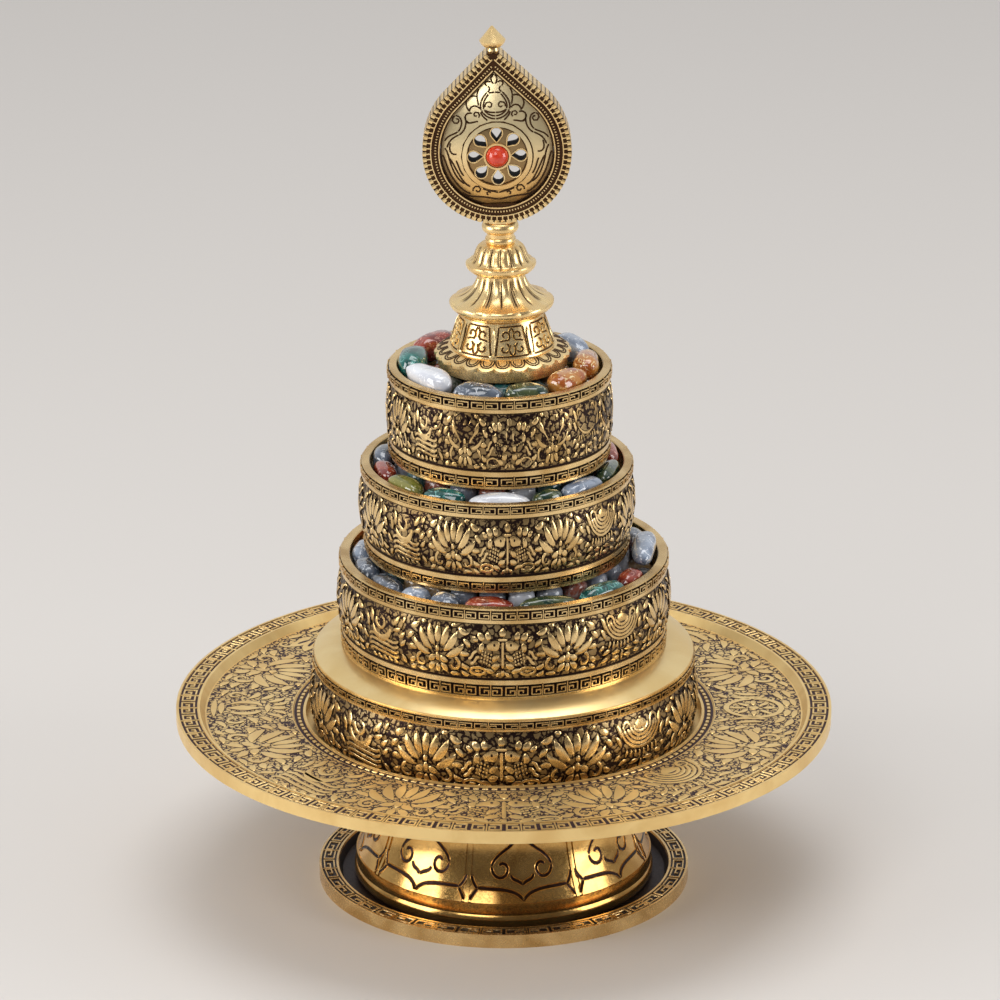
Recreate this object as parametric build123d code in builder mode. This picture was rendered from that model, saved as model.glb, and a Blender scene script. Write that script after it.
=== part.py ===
from build123d import *
import os
from dataclasses import dataclass
from math import asin, cos, pi, radians, sin, sqrt, tan

# A Tibetan mandala offering plate. A footed plate carries a drum in its well. Three open rings
# stand above the drum, each heaped with tumbled stones, and a jewel ornament stands on the top
# heap. Sizes are in millimetres, +Z is up, and the origin is the centre of the foot's underside.

os.makedirs("parts", exist_ok=True)

# Clearances
seat_gap = 0.3          # between a loose curved piece and what carries it
slip = 0.1              # radial play of screws, pins, rods and set-in plates
band_sink = 0.35        # depth of a patterned band below the plain lines beside it

# Foot ring
foot_radius = 62.0
foot_height = 4.7
foot_rim_width = 6.4
foot_line = 0.7         # plain lines on both sides of the foot's patterned band
foot_floor = 1.7
foot_recess_width = 6.1     # from the foot's rim to the waist
foot_seat_width = 9.5       # under the waist, from the foot's bore out

# Pedestal waist
waist_height = 52.1
waist_bead_swell = 0.7
waist_bead_height = 4.3
waist_band_height = 4.0
waist_throat_radius = 42.3
waist_throat_rise = 17.1
waist_top_radius = 44.5
waist_wall = 2.6
waist_web = 3.0
panel_count = 8
panel_turn = 7.8        # degrees from the front to the middle of the nearest panel
panel_line_width = 1.0      # each of the two grooves between panels, and the ridge between them
panel_line_depth = 0.5
foot_pin_count = 4
foot_pin_radius = 1.0
foot_pin_depth = 5.0

# Plate
plate_radius = 109.1
plate_floor_thickness = 2.0
plate_well_depth = 3.7
plate_rim_rise = 2.5    # the raised rim above the field
plate_edge_height = 4.2
plate_rim_width = 7.9
plate_rim_line = 0.8
plate_bank_width = 1.7      # the bank between the rim and the field
plate_border_width = 4.0
well_clearance = 3.6    # between the drum's foot and the edge of the plate's well

# Screw that holds the plate on the pedestal
screw_radius = 3.0
screw_head_radius = 6.0
screw_head_height = 2.0
washer_radius = 7.5
washer_thickness = 1.2
nut_radius = 5.5
nut_height = 4.5

# Embossing of the four patterned belts
relief_height = 0.45
relief_margin = 0.4         # plain metal above and below a belt's motifs
motif_width = 27.5          # of a motif as it is drawn, before it is fitted to its belt
motif_height = 18.8
belly_bands = 4             # conical bands that make up a belt's bulge

# Base drum
drum_radius = 62.4
drum_belly_swell = 1.9
drum_belly_height = 20.9
drum_bead_swell = 0.8
drum_bead_height = 1.2
drum_band_height = 3.1
drum_wall = 2.2
drum_motif_turn = -0.7      # degrees from the front to the belt's pair of fish
drum_lid_edge = 0.5
drum_lid_overhang = 0.5
drum_lid_rise = 3.1
drum_lid_crown = 2.2        # rise of the lid's shoulder halfway in
drum_shoulder_width = 8.4   # from the drum's foot in to the seat of the large ring
drum_lid_thickness = 2.0
drum_lid_spigot = 2.5

# Mouldings that the three stacking rings share
ring_lip = 0.8
ring_rim_lip = 0.5
ring_bead_height = 1.6
ring_bead_swell = 0.3
ring_groove_height = 0.9
ring_groove_depth = 0.5
ring_top_bead_height = 1.2
ring_top_groove_height = 0.5
rim_chamfer = 0.3
shoulder_drop = 0.4     # the drop from a ring's rim line to the top of its bulging belt

# Large ring, on the drum's seat
large_seat_inset = 0.5
large_wall = 2.6
large_height = 31.4
large_belly_swell = 1.4
large_rim_swell = 0.6
large_lower_band = 4.2
large_upper_band = 3.3
large_stone_half_width = 4.2
large_stone_rise = 1.3      # the stones' tops above the ring's rim
large_heap_rise = 1.6       # the heap's flat top above the ring's rim
large_motif_turn = -0.4     # degrees from the front to the belt's pair of fish

# Medium ring, on the large ring's heap
medium_offset = -2.3        # its centre from the drum's, towards +X
medium_step = 9.2           # its bore from the large ring's
medium_wall = 1.6
medium_height = 30.7
medium_belly_swell = 1.9
medium_rim_swell = 1.2
medium_lower_band = 3.0
medium_upper_band = 2.9
medium_stone_half_width = 3.9
medium_stone_rise = 2.0
medium_heap_rise = 2.3
medium_motif_turn = 4.4

# Small ring, on the medium ring's heap
small_offset = -1.3
small_bore = 33.6
small_wall = 2.3
small_height = 30.9
small_belly_swell = 1.0
small_rim_swell = 0.4
small_lower_band = 3.5
small_upper_band = 3.1
small_stone_half_width = 5.0
small_stone_rise = 4.4
small_heap_drop = 0.4       # the heap's flat top below the ring's rim
small_motif_turn = 5.0

# Tumbled stones
stone_tip_gap = 0.3
ornament_room = 0.9     # between the ornament's skirt and the stones around it
tall_lift = 5.6         # a stone that stands above the rest of its ring
high_lift = 0.8
low_lift = -1.6

# Jewel ornament
ornament_offset = -0.3
ornament_lean = 1.1     # degrees towards -X, as it stands on the heap
leaf_lean = 2.35
base_rim_height = 3.5
skirt_overhang = 1.2
skirt_height = 0.7
skirt_rise = 2.3
skirt_crown = 1.5       # rise of the skirt's curve halfway in
skirt_lobes = 24
skirt_scallop_depth = 1.1
base_panel_radius = 17.0
base_panel_top_radius = 13.4
base_panel_height = 10.9
base_neck_height = 0.7
base_neck_inset = 1.0
base_wall = 2.4
base_web = 3.2
tier_bottom_radius = 13.0
tier_rim_radius = 17.1
tier_rim_height = 3.1
tier_height = 13.0
tier_neck_radius = 7.6
tier_lobes = 8
tier_scallop_depth = 0.7
tier_hollow = (0.3, 0.34)   # the curve's middle, as shares of its reach and its height
bell_bottom_radius = 7.9
bell_rim_radius = 11.5
bell_rim_height = 3.1
bell_height = 9.8
bell_top_radius = 6.2
bell_lobes = 8
bell_scallop_depth = 0.5
bell_hollow = (0.5, 0.5)
edge_height = 0.8       # height of the rounded edge on the tier's and the bell's rims
neck_foot_radius = 4.4
neck_low_bead_swell = 0.6
neck_low_bead_height = 2.6
neck_groove_height = 1.1
neck_main_bead_swell = 1.6
neck_main_bead_height = 4.1
neck_collar_radius = 5.0
neck_collar_height = 0.7
rod_radius = 1.5
rod_nut_radius = 3.2
rod_nut_height = 2.4
rod_washer_radius = 4.2
rod_washer_thickness = 0.8
rod_thread_length = 4.0     # the part of the rod inside the leaf

# Leaf
leaf_radius = 24.0
leaf_foot_half_width = 6.86
leaf_height = 56.2
leaf_tip_half_width = 2.0
leaf_shoulder_half_width = 17.4
leaf_shoulder_rise = 17.8   # above the leaf's widest line
leaf_thickness = 8.0
leaf_border = 5.6
leaf_field_thickness = 5.0
wheel_height = 21.4
wheel_radius = 11.3
wheel_ring_width = 1.4
wheel_ring_rise = 0.7
petal_hole_count = 8
petal_hole_radius = 1.75
petal_hole_foot_gap = 0.2   # from the bezel
petal_hole_tip_gap = 0.5    # from the wheel's ring
coral_radius = 3.7
coral_height = 3.6
coral_crown_radius = 0.2
bezel_wall = 0.6
bezel_height = 1.0
finial_height = 8.05
finial_neck_height = 0.9
finial_neck_inset = 0.3
finial_radius = 4.25
finial_bulge_height = 3.4
finial_tip_radius = 0.3
finial_cheek = (0.86, 0.62)     # the bulge's middle, as shares of its radius and its height
finial_flank = (0.52, 0.5)      # the point's middle, likewise


@dataclass(frozen=True)
class Ring:
    """One stacking ring and the stones heaped in it, in order from the viewer's left."""

    name: str
    offset: float           # how far its centre stands towards +X
    bore: float
    wall: float             # at its foot
    height: float
    belly_swell: float      # beyond its foot, as are the rim's and the bead's
    rim_swell: float
    lower_band: float
    upper_band: float
    stone_half_width: float
    stone_rise: float       # the stones' tops above the rim
    heap_rise: float        # the flat top of the heap above the rim
    motif_turn: float       # degrees from the front to the belt's pair of fish
    first_angle: float      # degrees from the front, towards +X
    stones: tuple           # colour, degrees of the ring that the stone takes, lift above the rest


# The embossed motifs, each drawn with pointed petals: where a petal starts and ends, and its width.
# A petal beside the middle line has a twin on the other side.
blossom = (
    ((0, 1.0), (0, 9.0), 2.6), ((1.9, 0.2), (5.4, 8.6), 2.6), ((3.4, -2.0), (10.8, 4.2), 2.6),
    ((4.8, -5.5), (9.0, -5.5), 3.6),
)
symbols = (
    # Pair of fish
    (
        ((0, 8.6), (0, -8.6), 1.8), ((2.3, 1.9), (7.6, 2.0), 3.4), ((3.9, -2.6), (9.3, -2.2), 3.4),
        ((7.2, -7.0), (13.2, -7.0), 2.6),
    ),
    # Parasol
    (((-9.3, 4.4), (9.3, 4.4), 9.0), ((-8.0, -3.4), (8.0, -3.4), 2.6), ((2.0, -7.0), (10.0, -6.4), 2.0)),
    # Wheel
    (((-7.2, 1.0), (7.2, 1.0), 14.4), ((9.2, -2.6), (10.6, 5.6), 2.0), ((1.2, -8.4), (9.8, -6.4), 2.0)),
    # Banner
    (((0, 6.4), (0, -8.6), 9.0), ((5.8, 3.0), (8.0, 8.8), 1.8), ((6.2, -3.6), (10.4, 2.2), 1.8)),
    # Endless knot
    (((-7.4, 0), (7.4, 0), 11.0), ((8.2, 1.2), (11.4, 7.6), 1.8), ((6.0, -4.6), (11.0, -8.0), 1.8)),
    # Lotus
    (((0, -1.0), (0, 8.6), 3.0), ((1.9, -1.4), (7.2, 6.6), 3.0), ((2.6, -3.4), (11.4, -1.2), 3.0)),
    # Vase
    (((0, -7.0), (0, 4.0), 9.0), ((5.4, 2.4), (10.0, 6.6), 1.8), ((6.4, -5.0), (10.8, -2.6), 1.8)),
    # Conch
    (
        ((-6.4, 4.0), (6.4, 4.0), 8.6), ((-8.6, -2.4), (8.6, -2.4), 2.6), ((-8.6, -6.4), (8.6, -6.4), 2.6),
        ((8.2, 2.4), (10.2, 7.8), 1.8),
    ),
)

# The two wide rings follow from the seat on the drum, and the ornament's skirt from the room
# that the small ring's stones leave
drum_seat_radius = drum_radius - drum_shoulder_width
large_bore = drum_seat_radius - large_seat_inset - large_wall
medium_bore = large_bore - medium_step
skirt_radius = small_bore - seat_gap - 2 * small_stone_half_width - ornament_room
base_rim_radius = skirt_radius - skirt_overhang
rings = (
    Ring(
        name="large",
        offset=0,
        bore=large_bore,
        wall=large_wall,
        height=large_height,
        belly_swell=large_belly_swell,
        rim_swell=large_rim_swell,
        lower_band=large_lower_band,
        upper_band=large_upper_band,
        stone_half_width=large_stone_half_width,
        stone_rise=large_stone_rise,
        heap_rise=large_heap_rise,
        motif_turn=large_motif_turn,
        first_angle=-85,
        stones=(
            ("grey", 20, 0), ("grey", 20, 0), ("clear", 14, 0), ("grey", 14, 0), ("red", 22, 0),
            ("green", 26, 0), ("teal", 24, 0), ("red", 15, 0), ("clear", 28, tall_lift), ("grey", 22, 0),
            ("green", 22, 0), ("amber", 24, 0), ("white", 22, 0), ("red", 22, 0), ("teal", 22, 0),
            ("amber", 22, 0), ("clear", 21, 0),
        ),
    ),
    Ring(
        name="medium",
        offset=medium_offset,
        bore=medium_bore,
        wall=medium_wall,
        height=medium_height,
        belly_swell=medium_belly_swell,
        rim_swell=medium_rim_swell,
        lower_band=medium_lower_band,
        upper_band=medium_upper_band,
        stone_half_width=medium_stone_half_width,
        stone_rise=medium_stone_rise,
        heap_rise=medium_heap_rise,
        motif_turn=medium_motif_turn,
        first_angle=-88,
        stones=(
            ("red", 24, 0), ("amber", 25, 0), ("teal", 24, 0), ("white", 32, 0), ("green", 17, 0),
            ("clear", 28, 0), ("green", 28, 0), ("red", 26, 0), ("white", 28, 0), ("amber", 26, 0),
            ("grey", 28, 0), ("teal", 26, 0), ("clear", 24, 0), ("grey", 24, 0),
        ),
    ),
    Ring(
        name="small",
        offset=small_offset,
        bore=small_bore,
        wall=small_wall,
        height=small_height,
        belly_swell=small_belly_swell,
        rim_swell=small_rim_swell,
        lower_band=small_lower_band,
        upper_band=small_upper_band,
        stone_half_width=small_stone_half_width,
        stone_rise=small_stone_rise,
        heap_rise=-small_heap_drop,
        motif_turn=small_motif_turn,
        first_angle=-150,
        stones=(
            ("red", 38, 0), ("teal", 36, 0), ("white", 44, high_lift), ("grey", 34, low_lift),
            ("green", 32, low_lift), ("amber", 34, 0), ("amber", 36, high_lift), ("clear", 36, 0),
            ("grey", 34, 0), ("teal", 36, 0),
        ),
    ),
)

# Levels that follow from the sizes. Each ring stands on the seat or the heap below it.
plate_floor_z = foot_floor + waist_height + plate_floor_thickness
plate_field_z = plate_floor_z + plate_well_depth
plate_top_z = plate_field_z + plate_rim_rise
well_radius = drum_radius + well_clearance
drum_bead_radius = drum_radius + drum_bead_swell
drum_band_z = plate_floor_z + drum_belly_height + drum_bead_height
drum_wall_top = drum_band_z + drum_band_height
drum_seat_z = drum_wall_top + drum_lid_edge + drum_lid_rise
ring_floors = []
heap_tops = [drum_seat_z]
for ring in rings:
    ring_floors.append(heap_tops[-1])
    heap_tops.append(ring_floors[-1] + ring.height + ring.heap_rise)
ornament_floor = heap_tops[-1] + seat_gap + base_rim_radius * sin(radians(ornament_lean))
half_turn = 180
full_turn = 360


def lean_plane(x, z, lean):
    """An upright plane that faces the front, with its origin at x, z and its top leaning towards -X."""
    turn = radians(lean)
    return Plane(origin=(x, 0, z), x_dir=(cos(turn), 0, sin(turn)), z_dir=(0, -1, 0))


def up_axis(plane):
    """The axis that runs up an upright plane through its origin."""
    return Axis(plane.origin, plane.y_dir)


def level_plane(plane, height):
    """The plane across an upright plane's axis at a height along it."""
    return Plane(origin=plane.origin + plane.y_dir * height, x_dir=plane.x_dir, z_dir=plane.y_dir)


def scallop_lobe(tip_radius, lobes, depth):
    """Centre distance and radius of the circles whose union is a scalloped disc."""
    cusp = tip_radius - depth
    centre = (tip_radius**2 - cusp**2) / (2 * (tip_radius - cusp * cos(pi / lobes)))
    return centre, tip_radius - centre


def save(piece, label):
    """Name a finished piece and write its file."""
    piece.part.label = label
    export_step(piece.part, f"parts/{label}.step")


upright = lean_plane(0, 0, 0)

# Foot ring, with the sunk band of its meander and the polished recess around the waist
foot_inner_rim = foot_radius - foot_rim_width
waist_band_radius = foot_inner_rim - foot_recess_width
foot_bore = waist_band_radius - foot_seat_width
with BuildPart() as foot_ring:
    with BuildSketch(upright):
        with BuildLine():
            Polyline(
                (foot_bore, 0),
                (foot_radius, 0),
                (foot_radius, foot_height),
                (foot_radius - foot_line, foot_height),
                (foot_radius - foot_line, foot_height - band_sink),
                (foot_inner_rim + foot_line, foot_height - band_sink),
                (foot_inner_rim + foot_line, foot_height),
                (foot_inner_rim, foot_height),
                (foot_inner_rim - (foot_height - foot_floor) / 2, foot_floor),
                (foot_bore, foot_floor),
                close=True,
            )
        make_face()
    revolve(axis=Axis.Z)
    pin_circle = waist_band_radius - waist_wall / 2
    with Locations(Plane.XY.offset(foot_floor)):
        with PolarLocations(pin_circle, foot_pin_count):
            Hole(radius=foot_pin_radius + slip)
save(foot_ring, "foot_ring")

# Pedestal waist, a spun shell with a web on top and a double line between its petal panels
waist_top = foot_floor + waist_height
waist_panel_z = foot_floor + waist_bead_height + waist_band_height
waist_throat_z = waist_panel_z + waist_throat_rise
waist_bead_radius = waist_band_radius + waist_bead_swell
panel_foot_radius = waist_band_radius - panel_line_depth
with BuildPart() as pedestal_waist:
    with BuildSketch(upright):
        with BuildLine():
            foot_corner = (waist_band_radius, foot_floor)
            bead_top = (waist_band_radius, foot_floor + waist_bead_height)
            ThreePointArc(foot_corner, (waist_bead_radius, foot_floor + waist_bead_height / 2), bead_top)
            Polyline(bead_top, (waist_band_radius, waist_panel_z), (panel_foot_radius, waist_panel_z))
            ThreePointArc(
                (panel_foot_radius, waist_panel_z),
                (waist_throat_radius, waist_throat_z),
                (waist_top_radius, waist_top),
            )
            Polyline(
                (waist_top_radius, waist_top),
                (screw_radius + slip, waist_top),
                (screw_radius + slip, waist_top - waist_web),
                (waist_top_radius - waist_wall, waist_top - waist_web),
            )
            ThreePointArc(
                (waist_top_radius - waist_wall, waist_top - waist_web),
                (waist_throat_radius - waist_wall, waist_throat_z),
                (panel_foot_radius - waist_wall, waist_panel_z),
            )
            Polyline(
                (panel_foot_radius - waist_wall, waist_panel_z),
                (panel_foot_radius - waist_wall, foot_floor),
                foot_corner,
            )
        make_face()
    revolve(axis=Axis.Z)
    line_turn = panel_line_width / waist_throat_radius * half_turn / pi
    groove_reach = max(waist_bead_radius, waist_top_radius) + panel_line_depth
    for index in range(panel_count):
        divider = panel_turn + (index + 0.5) * full_turn / panel_count - half_turn / 2
        for groove_start in (-1.5 * line_turn, 0.5 * line_turn):
            with BuildSketch(upright.rotated((0, 0, divider + groove_start))):
                with BuildLine():
                    ThreePointArc(
                        (panel_foot_radius - panel_line_depth, waist_panel_z),
                        (waist_throat_radius - panel_line_depth, waist_throat_z),
                        (waist_top_radius - panel_line_depth, waist_top),
                    )
                    Polyline(
                        (waist_top_radius - panel_line_depth, waist_top),
                        (groove_reach, waist_top),
                        (groove_reach, waist_panel_z),
                        (panel_foot_radius - panel_line_depth, waist_panel_z),
                    )
                make_face()
            revolve(axis=Axis.Z, revolution_arc=line_turn, mode=Mode.SUBTRACT)
    with Locations(Plane.XY.offset(foot_floor)):
        with PolarLocations(pin_circle, foot_pin_count):
            Cylinder(
                foot_pin_radius + slip,
                foot_pin_depth + slip,
                align=(Align.CENTER, Align.CENTER, Align.MIN),
                mode=Mode.SUBTRACT,
            )
save(pedestal_waist, "pedestal_waist")

# Pins that hold the waist on the foot ring
with BuildPart() as foot_pins:
    with BuildSketch(Plane.XY.offset(slip)):
        with PolarLocations(pin_circle, foot_pin_count):
            Circle(foot_pin_radius)
    extrude(amount=foot_floor + foot_pin_depth - slip)
save(foot_pins, "foot_pins")

# Plate: a flat well, an engraved field and a raised rim with a sunk band
rim_inner = plate_radius - plate_rim_width
field_outer = rim_inner - plate_bank_width
border_outer = well_radius + plate_border_width
plate_under_z = plate_top_z - plate_edge_height
with BuildPart() as plate:
    with BuildSketch(upright):
        with BuildLine():
            Polyline(
                (screw_radius + slip, waist_top),
                (well_radius + plate_floor_thickness, waist_top),
                (border_outer, plate_field_z - plate_floor_thickness),
                (field_outer, plate_field_z - plate_floor_thickness),
                (rim_inner, plate_under_z),
                (plate_radius, plate_under_z),
                (plate_radius, plate_top_z),
                (plate_radius - plate_rim_line, plate_top_z),
                (plate_radius - plate_rim_line, plate_top_z - band_sink),
                (rim_inner + plate_rim_line, plate_top_z - band_sink),
                (rim_inner + plate_rim_line, plate_top_z),
                (rim_inner, plate_top_z),
                (field_outer, plate_field_z),
                (border_outer + band_sink, plate_field_z),
                (border_outer, plate_field_z - band_sink),
                (well_radius + plate_rim_line, plate_field_z - band_sink),
                (well_radius + plate_rim_line, plate_field_z),
                (well_radius, plate_field_z),
                (well_radius, plate_floor_z),
                (screw_radius + slip, plate_floor_z),
                close=True,
            )
        make_face()
    revolve(axis=Axis.Z)
save(plate, "plate")

# Screw, washer and nut that clamp the plate on the waist's web
screw_end = waist_top - waist_web - washer_thickness - nut_height
with BuildPart() as plate_screw:
    with BuildSketch(Plane.XY.offset(screw_end)):
        Circle(screw_radius)
    extrude(amount=plate_floor_z - screw_end)
    with BuildSketch(Plane.XY.offset(plate_floor_z)):
        Circle(screw_head_radius)
    extrude(amount=screw_head_height)
save(plate_screw, "plate_screw")

with BuildPart() as plate_washer:
    with BuildSketch(Plane.XY.offset(waist_top - waist_web - washer_thickness)):
        Circle(washer_radius)
        Circle(screw_radius + slip, mode=Mode.SUBTRACT)
    extrude(amount=washer_thickness)
save(plate_washer, "plate_washer")

with BuildPart() as plate_nut:
    with BuildSketch(Plane.XY.offset(screw_end)):
        RegularPolygon(nut_radius, 6)
        Circle(screw_radius + slip, mode=Mode.SUBTRACT)
    extrude(amount=nut_height)
save(plate_nut, "plate_nut")



def belly(foot, peak, top, rise=0):
    """Points up a bulging belt, moved out by a rise."""
    swell = peak[0] - (foot[0] + top[0]) / 2
    points = []
    for band in range(belly_bands + 1):
        share = band / belly_bands
        bulge = swell * 4 * share * (1 - share)
        points.append(
            (foot[0] + (top[0] - foot[0]) * share + bulge + rise, foot[1] + (top[1] - foot[1]) * share)
        )
    return points


def embossing(centre_x, inner, turn, foot, peak, top):
    """The raised motifs of a belt, which reach in to a radius; foot, peak and top are radius and level."""
    middle_z = (foot[1] + top[1]) / 2
    scale_up = (top[1] - foot[1] - 2 * relief_margin) / motif_height
    motif_count = 2 * len(symbols)
    scale_wide = 2 * pi * peak[0] / motif_count / motif_width
    with BuildPart() as relief:
        for index in range(motif_count):
            facing = radians(turn + index * full_turn / motif_count - half_turn / 2)
            outward = Vector(cos(facing), sin(facing), 0)
            along = Vector(-sin(facing), cos(facing), 0)
            origin = Vector(centre_x, 0, middle_z) + outward * (inner - relief_height)
            with BuildSketch(Plane(origin=origin, x_dir=along, z_dir=outward)):
                for foot_point, tip_point, width in blossom if index % 2 else symbols[index // 2]:
                    beside = foot_point[0] * tip_point[0] >= 0 and tip_point[0] != 0
                    for side in (1, -1) if beside else (1,):
                        start = Vector(side * foot_point[0] * scale_wide, foot_point[1] * scale_up)
                        end = Vector(side * tip_point[0] * scale_wide, tip_point[1] * scale_up)
                        across = (end - start).rotate(Axis.Z, half_turn / 2).normalized()
                        bulge = across * width * scale_up / 2
                        with BuildLine():
                            ThreePointArc(start, (start + end) / 2 + bulge, end)
                            ThreePointArc(end, (start + end) / 2 - bulge, start)
                        make_face()
        extrude(amount=peak[0] + 2 * relief_height - inner)
        with BuildSketch(lean_plane(centre_x, 0, 0)):
            with BuildLine():
                outside = belly(foot, peak, top, relief_height)
                Polyline(*outside, (inner, top[1]), (inner, foot[1]), close=True)
            make_face()
        revolve(axis=Axis((centre_x, 0, 0), (0, 0, 1)), mode=Mode.INTERSECT)
    return relief.part


# Wall of the base drum
drum_bore = drum_radius - drum_wall
belly_top = plate_floor_z + drum_belly_height
drum_foot = (drum_radius, plate_floor_z)
drum_peak = (drum_radius + drum_belly_swell, (plate_floor_z + belly_top) / 2)
drum_head = (drum_radius, belly_top)
drum_motifs = embossing(0, drum_bore + drum_wall / 2, drum_motif_turn, drum_foot, drum_peak, drum_head)
with BuildPart() as drum_side:
    with BuildSketch(upright):
        with BuildLine():
            Polyline(*belly(drum_foot, drum_peak, drum_head))
            Polyline(
                drum_head,
                (drum_bead_radius, belly_top + ring_groove_depth),
                (drum_bead_radius, drum_band_z),
                (drum_bead_radius - band_sink, drum_band_z),
                (drum_bead_radius - band_sink, drum_wall_top - ring_rim_lip),
                (drum_bead_radius, drum_wall_top - ring_rim_lip),
                (drum_bead_radius, drum_wall_top),
                (drum_bore, drum_wall_top),
                (drum_bore, plate_floor_z),
                drum_foot,
            )
        make_face()
    revolve(axis=Axis.Z)
    add(drum_motifs)
save(drum_side, "drum_side")

# Polished lid of the base drum, with a spigot that locates it in the wall
lid_edge_z = drum_wall_top + drum_lid_edge
spigot_radius = drum_bore - slip
lid_radius = drum_radius + drum_lid_overhang
with BuildPart() as drum_lid:
    with BuildSketch(upright):
        with BuildLine():
            Polyline(
                (0, drum_seat_z - drum_lid_thickness),
                (drum_seat_radius, drum_seat_z - drum_lid_thickness),
                (spigot_radius - drum_lid_thickness, drum_wall_top),
                (spigot_radius - drum_lid_thickness, drum_wall_top - drum_lid_spigot),
                (spigot_radius, drum_wall_top - drum_lid_spigot),
                (spigot_radius, drum_wall_top),
                (lid_radius, drum_wall_top),
                (lid_radius, lid_edge_z),
            )
            ThreePointArc(
                (lid_radius, lid_edge_z),
                ((lid_radius + drum_seat_radius) / 2, lid_edge_z + drum_lid_crown),
                (drum_seat_radius, drum_seat_z),
            )
            Polyline(
                (drum_seat_radius, drum_seat_z), (0, drum_seat_z), (0, drum_seat_z - drum_lid_thickness)
            )
        make_face()
    revolve(axis=Axis.Z)
save(drum_lid, "drum_lid")


def stacking_ring(ring, floor_z):
    """An embossed ring: a meander band, a bead and a groove on both sides of its bulging belt."""
    lower_band_z = floor_z + ring_lip
    lower_bead_z = lower_band_z + ring.lower_band
    lower_groove_z = lower_bead_z + ring_bead_height
    belt_z = lower_groove_z + ring_groove_height
    rim_z = floor_z + ring.height
    upper_band_z = rim_z - ring_rim_lip - ring.upper_band
    upper_groove_z = upper_band_z - ring_top_bead_height
    belt_top = upper_groove_z - ring_top_groove_height
    low = ring.bore + ring.wall
    top = low + ring.rim_swell
    belt_foot = (low + ring_bead_swell, belt_z)
    belt_peak = (low + ring.belly_swell, (belt_z + belt_top) / 2)
    belt_head = (top - shoulder_drop, belt_top)
    wall_middle = ring.bore + ring.wall / 2
    motifs = embossing(ring.offset, wall_middle, ring.motif_turn, belt_foot, belt_peak, belt_head)
    with BuildPart() as wall:
        with BuildSketch(lean_plane(ring.offset, 0, 0)):
            with BuildLine():
                Polyline(
                    (ring.bore, floor_z),
                    (low, floor_z),
                    (low, lower_band_z),
                    (low - band_sink, lower_band_z),
                    (low - band_sink, lower_bead_z),
                    (low + ring_bead_swell, lower_bead_z),
                    (low + ring_bead_swell, lower_groove_z),
                    (low + ring_bead_swell - ring_groove_depth, lower_groove_z),
                    (low + ring_bead_swell - ring_groove_depth, belt_z),
                    belt_foot,
                )
                Polyline(*belly(belt_foot, belt_peak, belt_head))
                Polyline(
                    belt_head,
                    (top - ring_groove_depth - shoulder_drop, belt_top),
                    (top - ring_groove_depth - shoulder_drop, upper_groove_z),
                    (top, upper_groove_z),
                    (top, upper_band_z),
                    (top - band_sink, upper_band_z),
                    (top - band_sink, rim_z - ring_rim_lip),
                    (top, rim_z - ring_rim_lip),
                    (top, rim_z - rim_chamfer),
                    (top - rim_chamfer, rim_z),
                    (ring.bore + rim_chamfer, rim_z),
                    (ring.bore, rim_z - rim_chamfer),
                    (ring.bore, floor_z),
                )
            make_face()
        revolve(axis=Axis((ring.offset, 0, 0), (0, 0, 1)))
        add(motifs)
    return wall


def stone_centre_radius(ring):
    """Distance from the ring's axis to the middle of the stones that lean on its bore."""
    return ring.bore - seat_gap - ring.stone_half_width


def stone_heap(ring, floor_z, heap_top):
    """The packed stones under the visible ones: a trough for them around a flat-topped core."""
    lowest = min(lift for _, _, lift in ring.stones)
    stone_foot = floor_z + ring.height + ring.stone_rise + lowest - 2 * ring.stone_half_width
    core_radius = stone_centre_radius(ring) - ring.stone_half_width - seat_gap
    with BuildPart() as heap:
        with BuildSketch(Plane((ring.offset, 0, floor_z))):
            Circle(ring.bore - seat_gap)
        extrude(amount=stone_foot - seat_gap - floor_z)
        with BuildSketch(Plane((ring.offset, 0, floor_z))):
            Circle(core_radius)
        extrude(amount=heap_top - floor_z)
    return heap


def stones_of(ring, floor_z, colour):
    """All stones of one colour in a ring, each a long rounded pebble that lies along the bore."""
    centre_radius = stone_centre_radius(ring)
    middle_z = floor_z + ring.height + ring.stone_rise - ring.stone_half_width
    with BuildPart() as stones:
        start = ring.first_angle
        for stone_colour, share, lift in ring.stones:
            facing = radians(start + share / 2 - half_turn / 2)
            start += share
            if stone_colour != colour:
                continue
            outward = Vector(cos(facing), sin(facing), 0)
            along = Vector(-sin(facing), cos(facing), 0)
            middle = Vector(ring.offset, 0, middle_z + lift) + outward * centre_radius
            half_length = centre_radius * tan(radians(share / 2)) - stone_tip_gap / 2
            with BuildSketch(Plane(origin=middle, x_dir=along, z_dir=outward)):
                with BuildLine():
                    crown = EllipticalCenterArc(
                        (0, 0), half_length, ring.stone_half_width, arc_size=half_turn
                    )
                    Line(crown @ 1, crown @ 0)
                make_face()
            revolve(axis=Axis(middle, along))
    return stones


for ring, floor_z, heap_top in zip(rings, ring_floors, heap_tops[1:]):
    save(stacking_ring(ring, floor_z), f"ring_{ring.name}")
    save(stone_heap(ring, floor_z, heap_top), f"heap_{ring.name}")
    for colour in sorted({stone[0] for stone in ring.stones}):
        save(stones_of(ring, floor_z, colour), f"stones_{ring.name}_{colour}")

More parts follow.
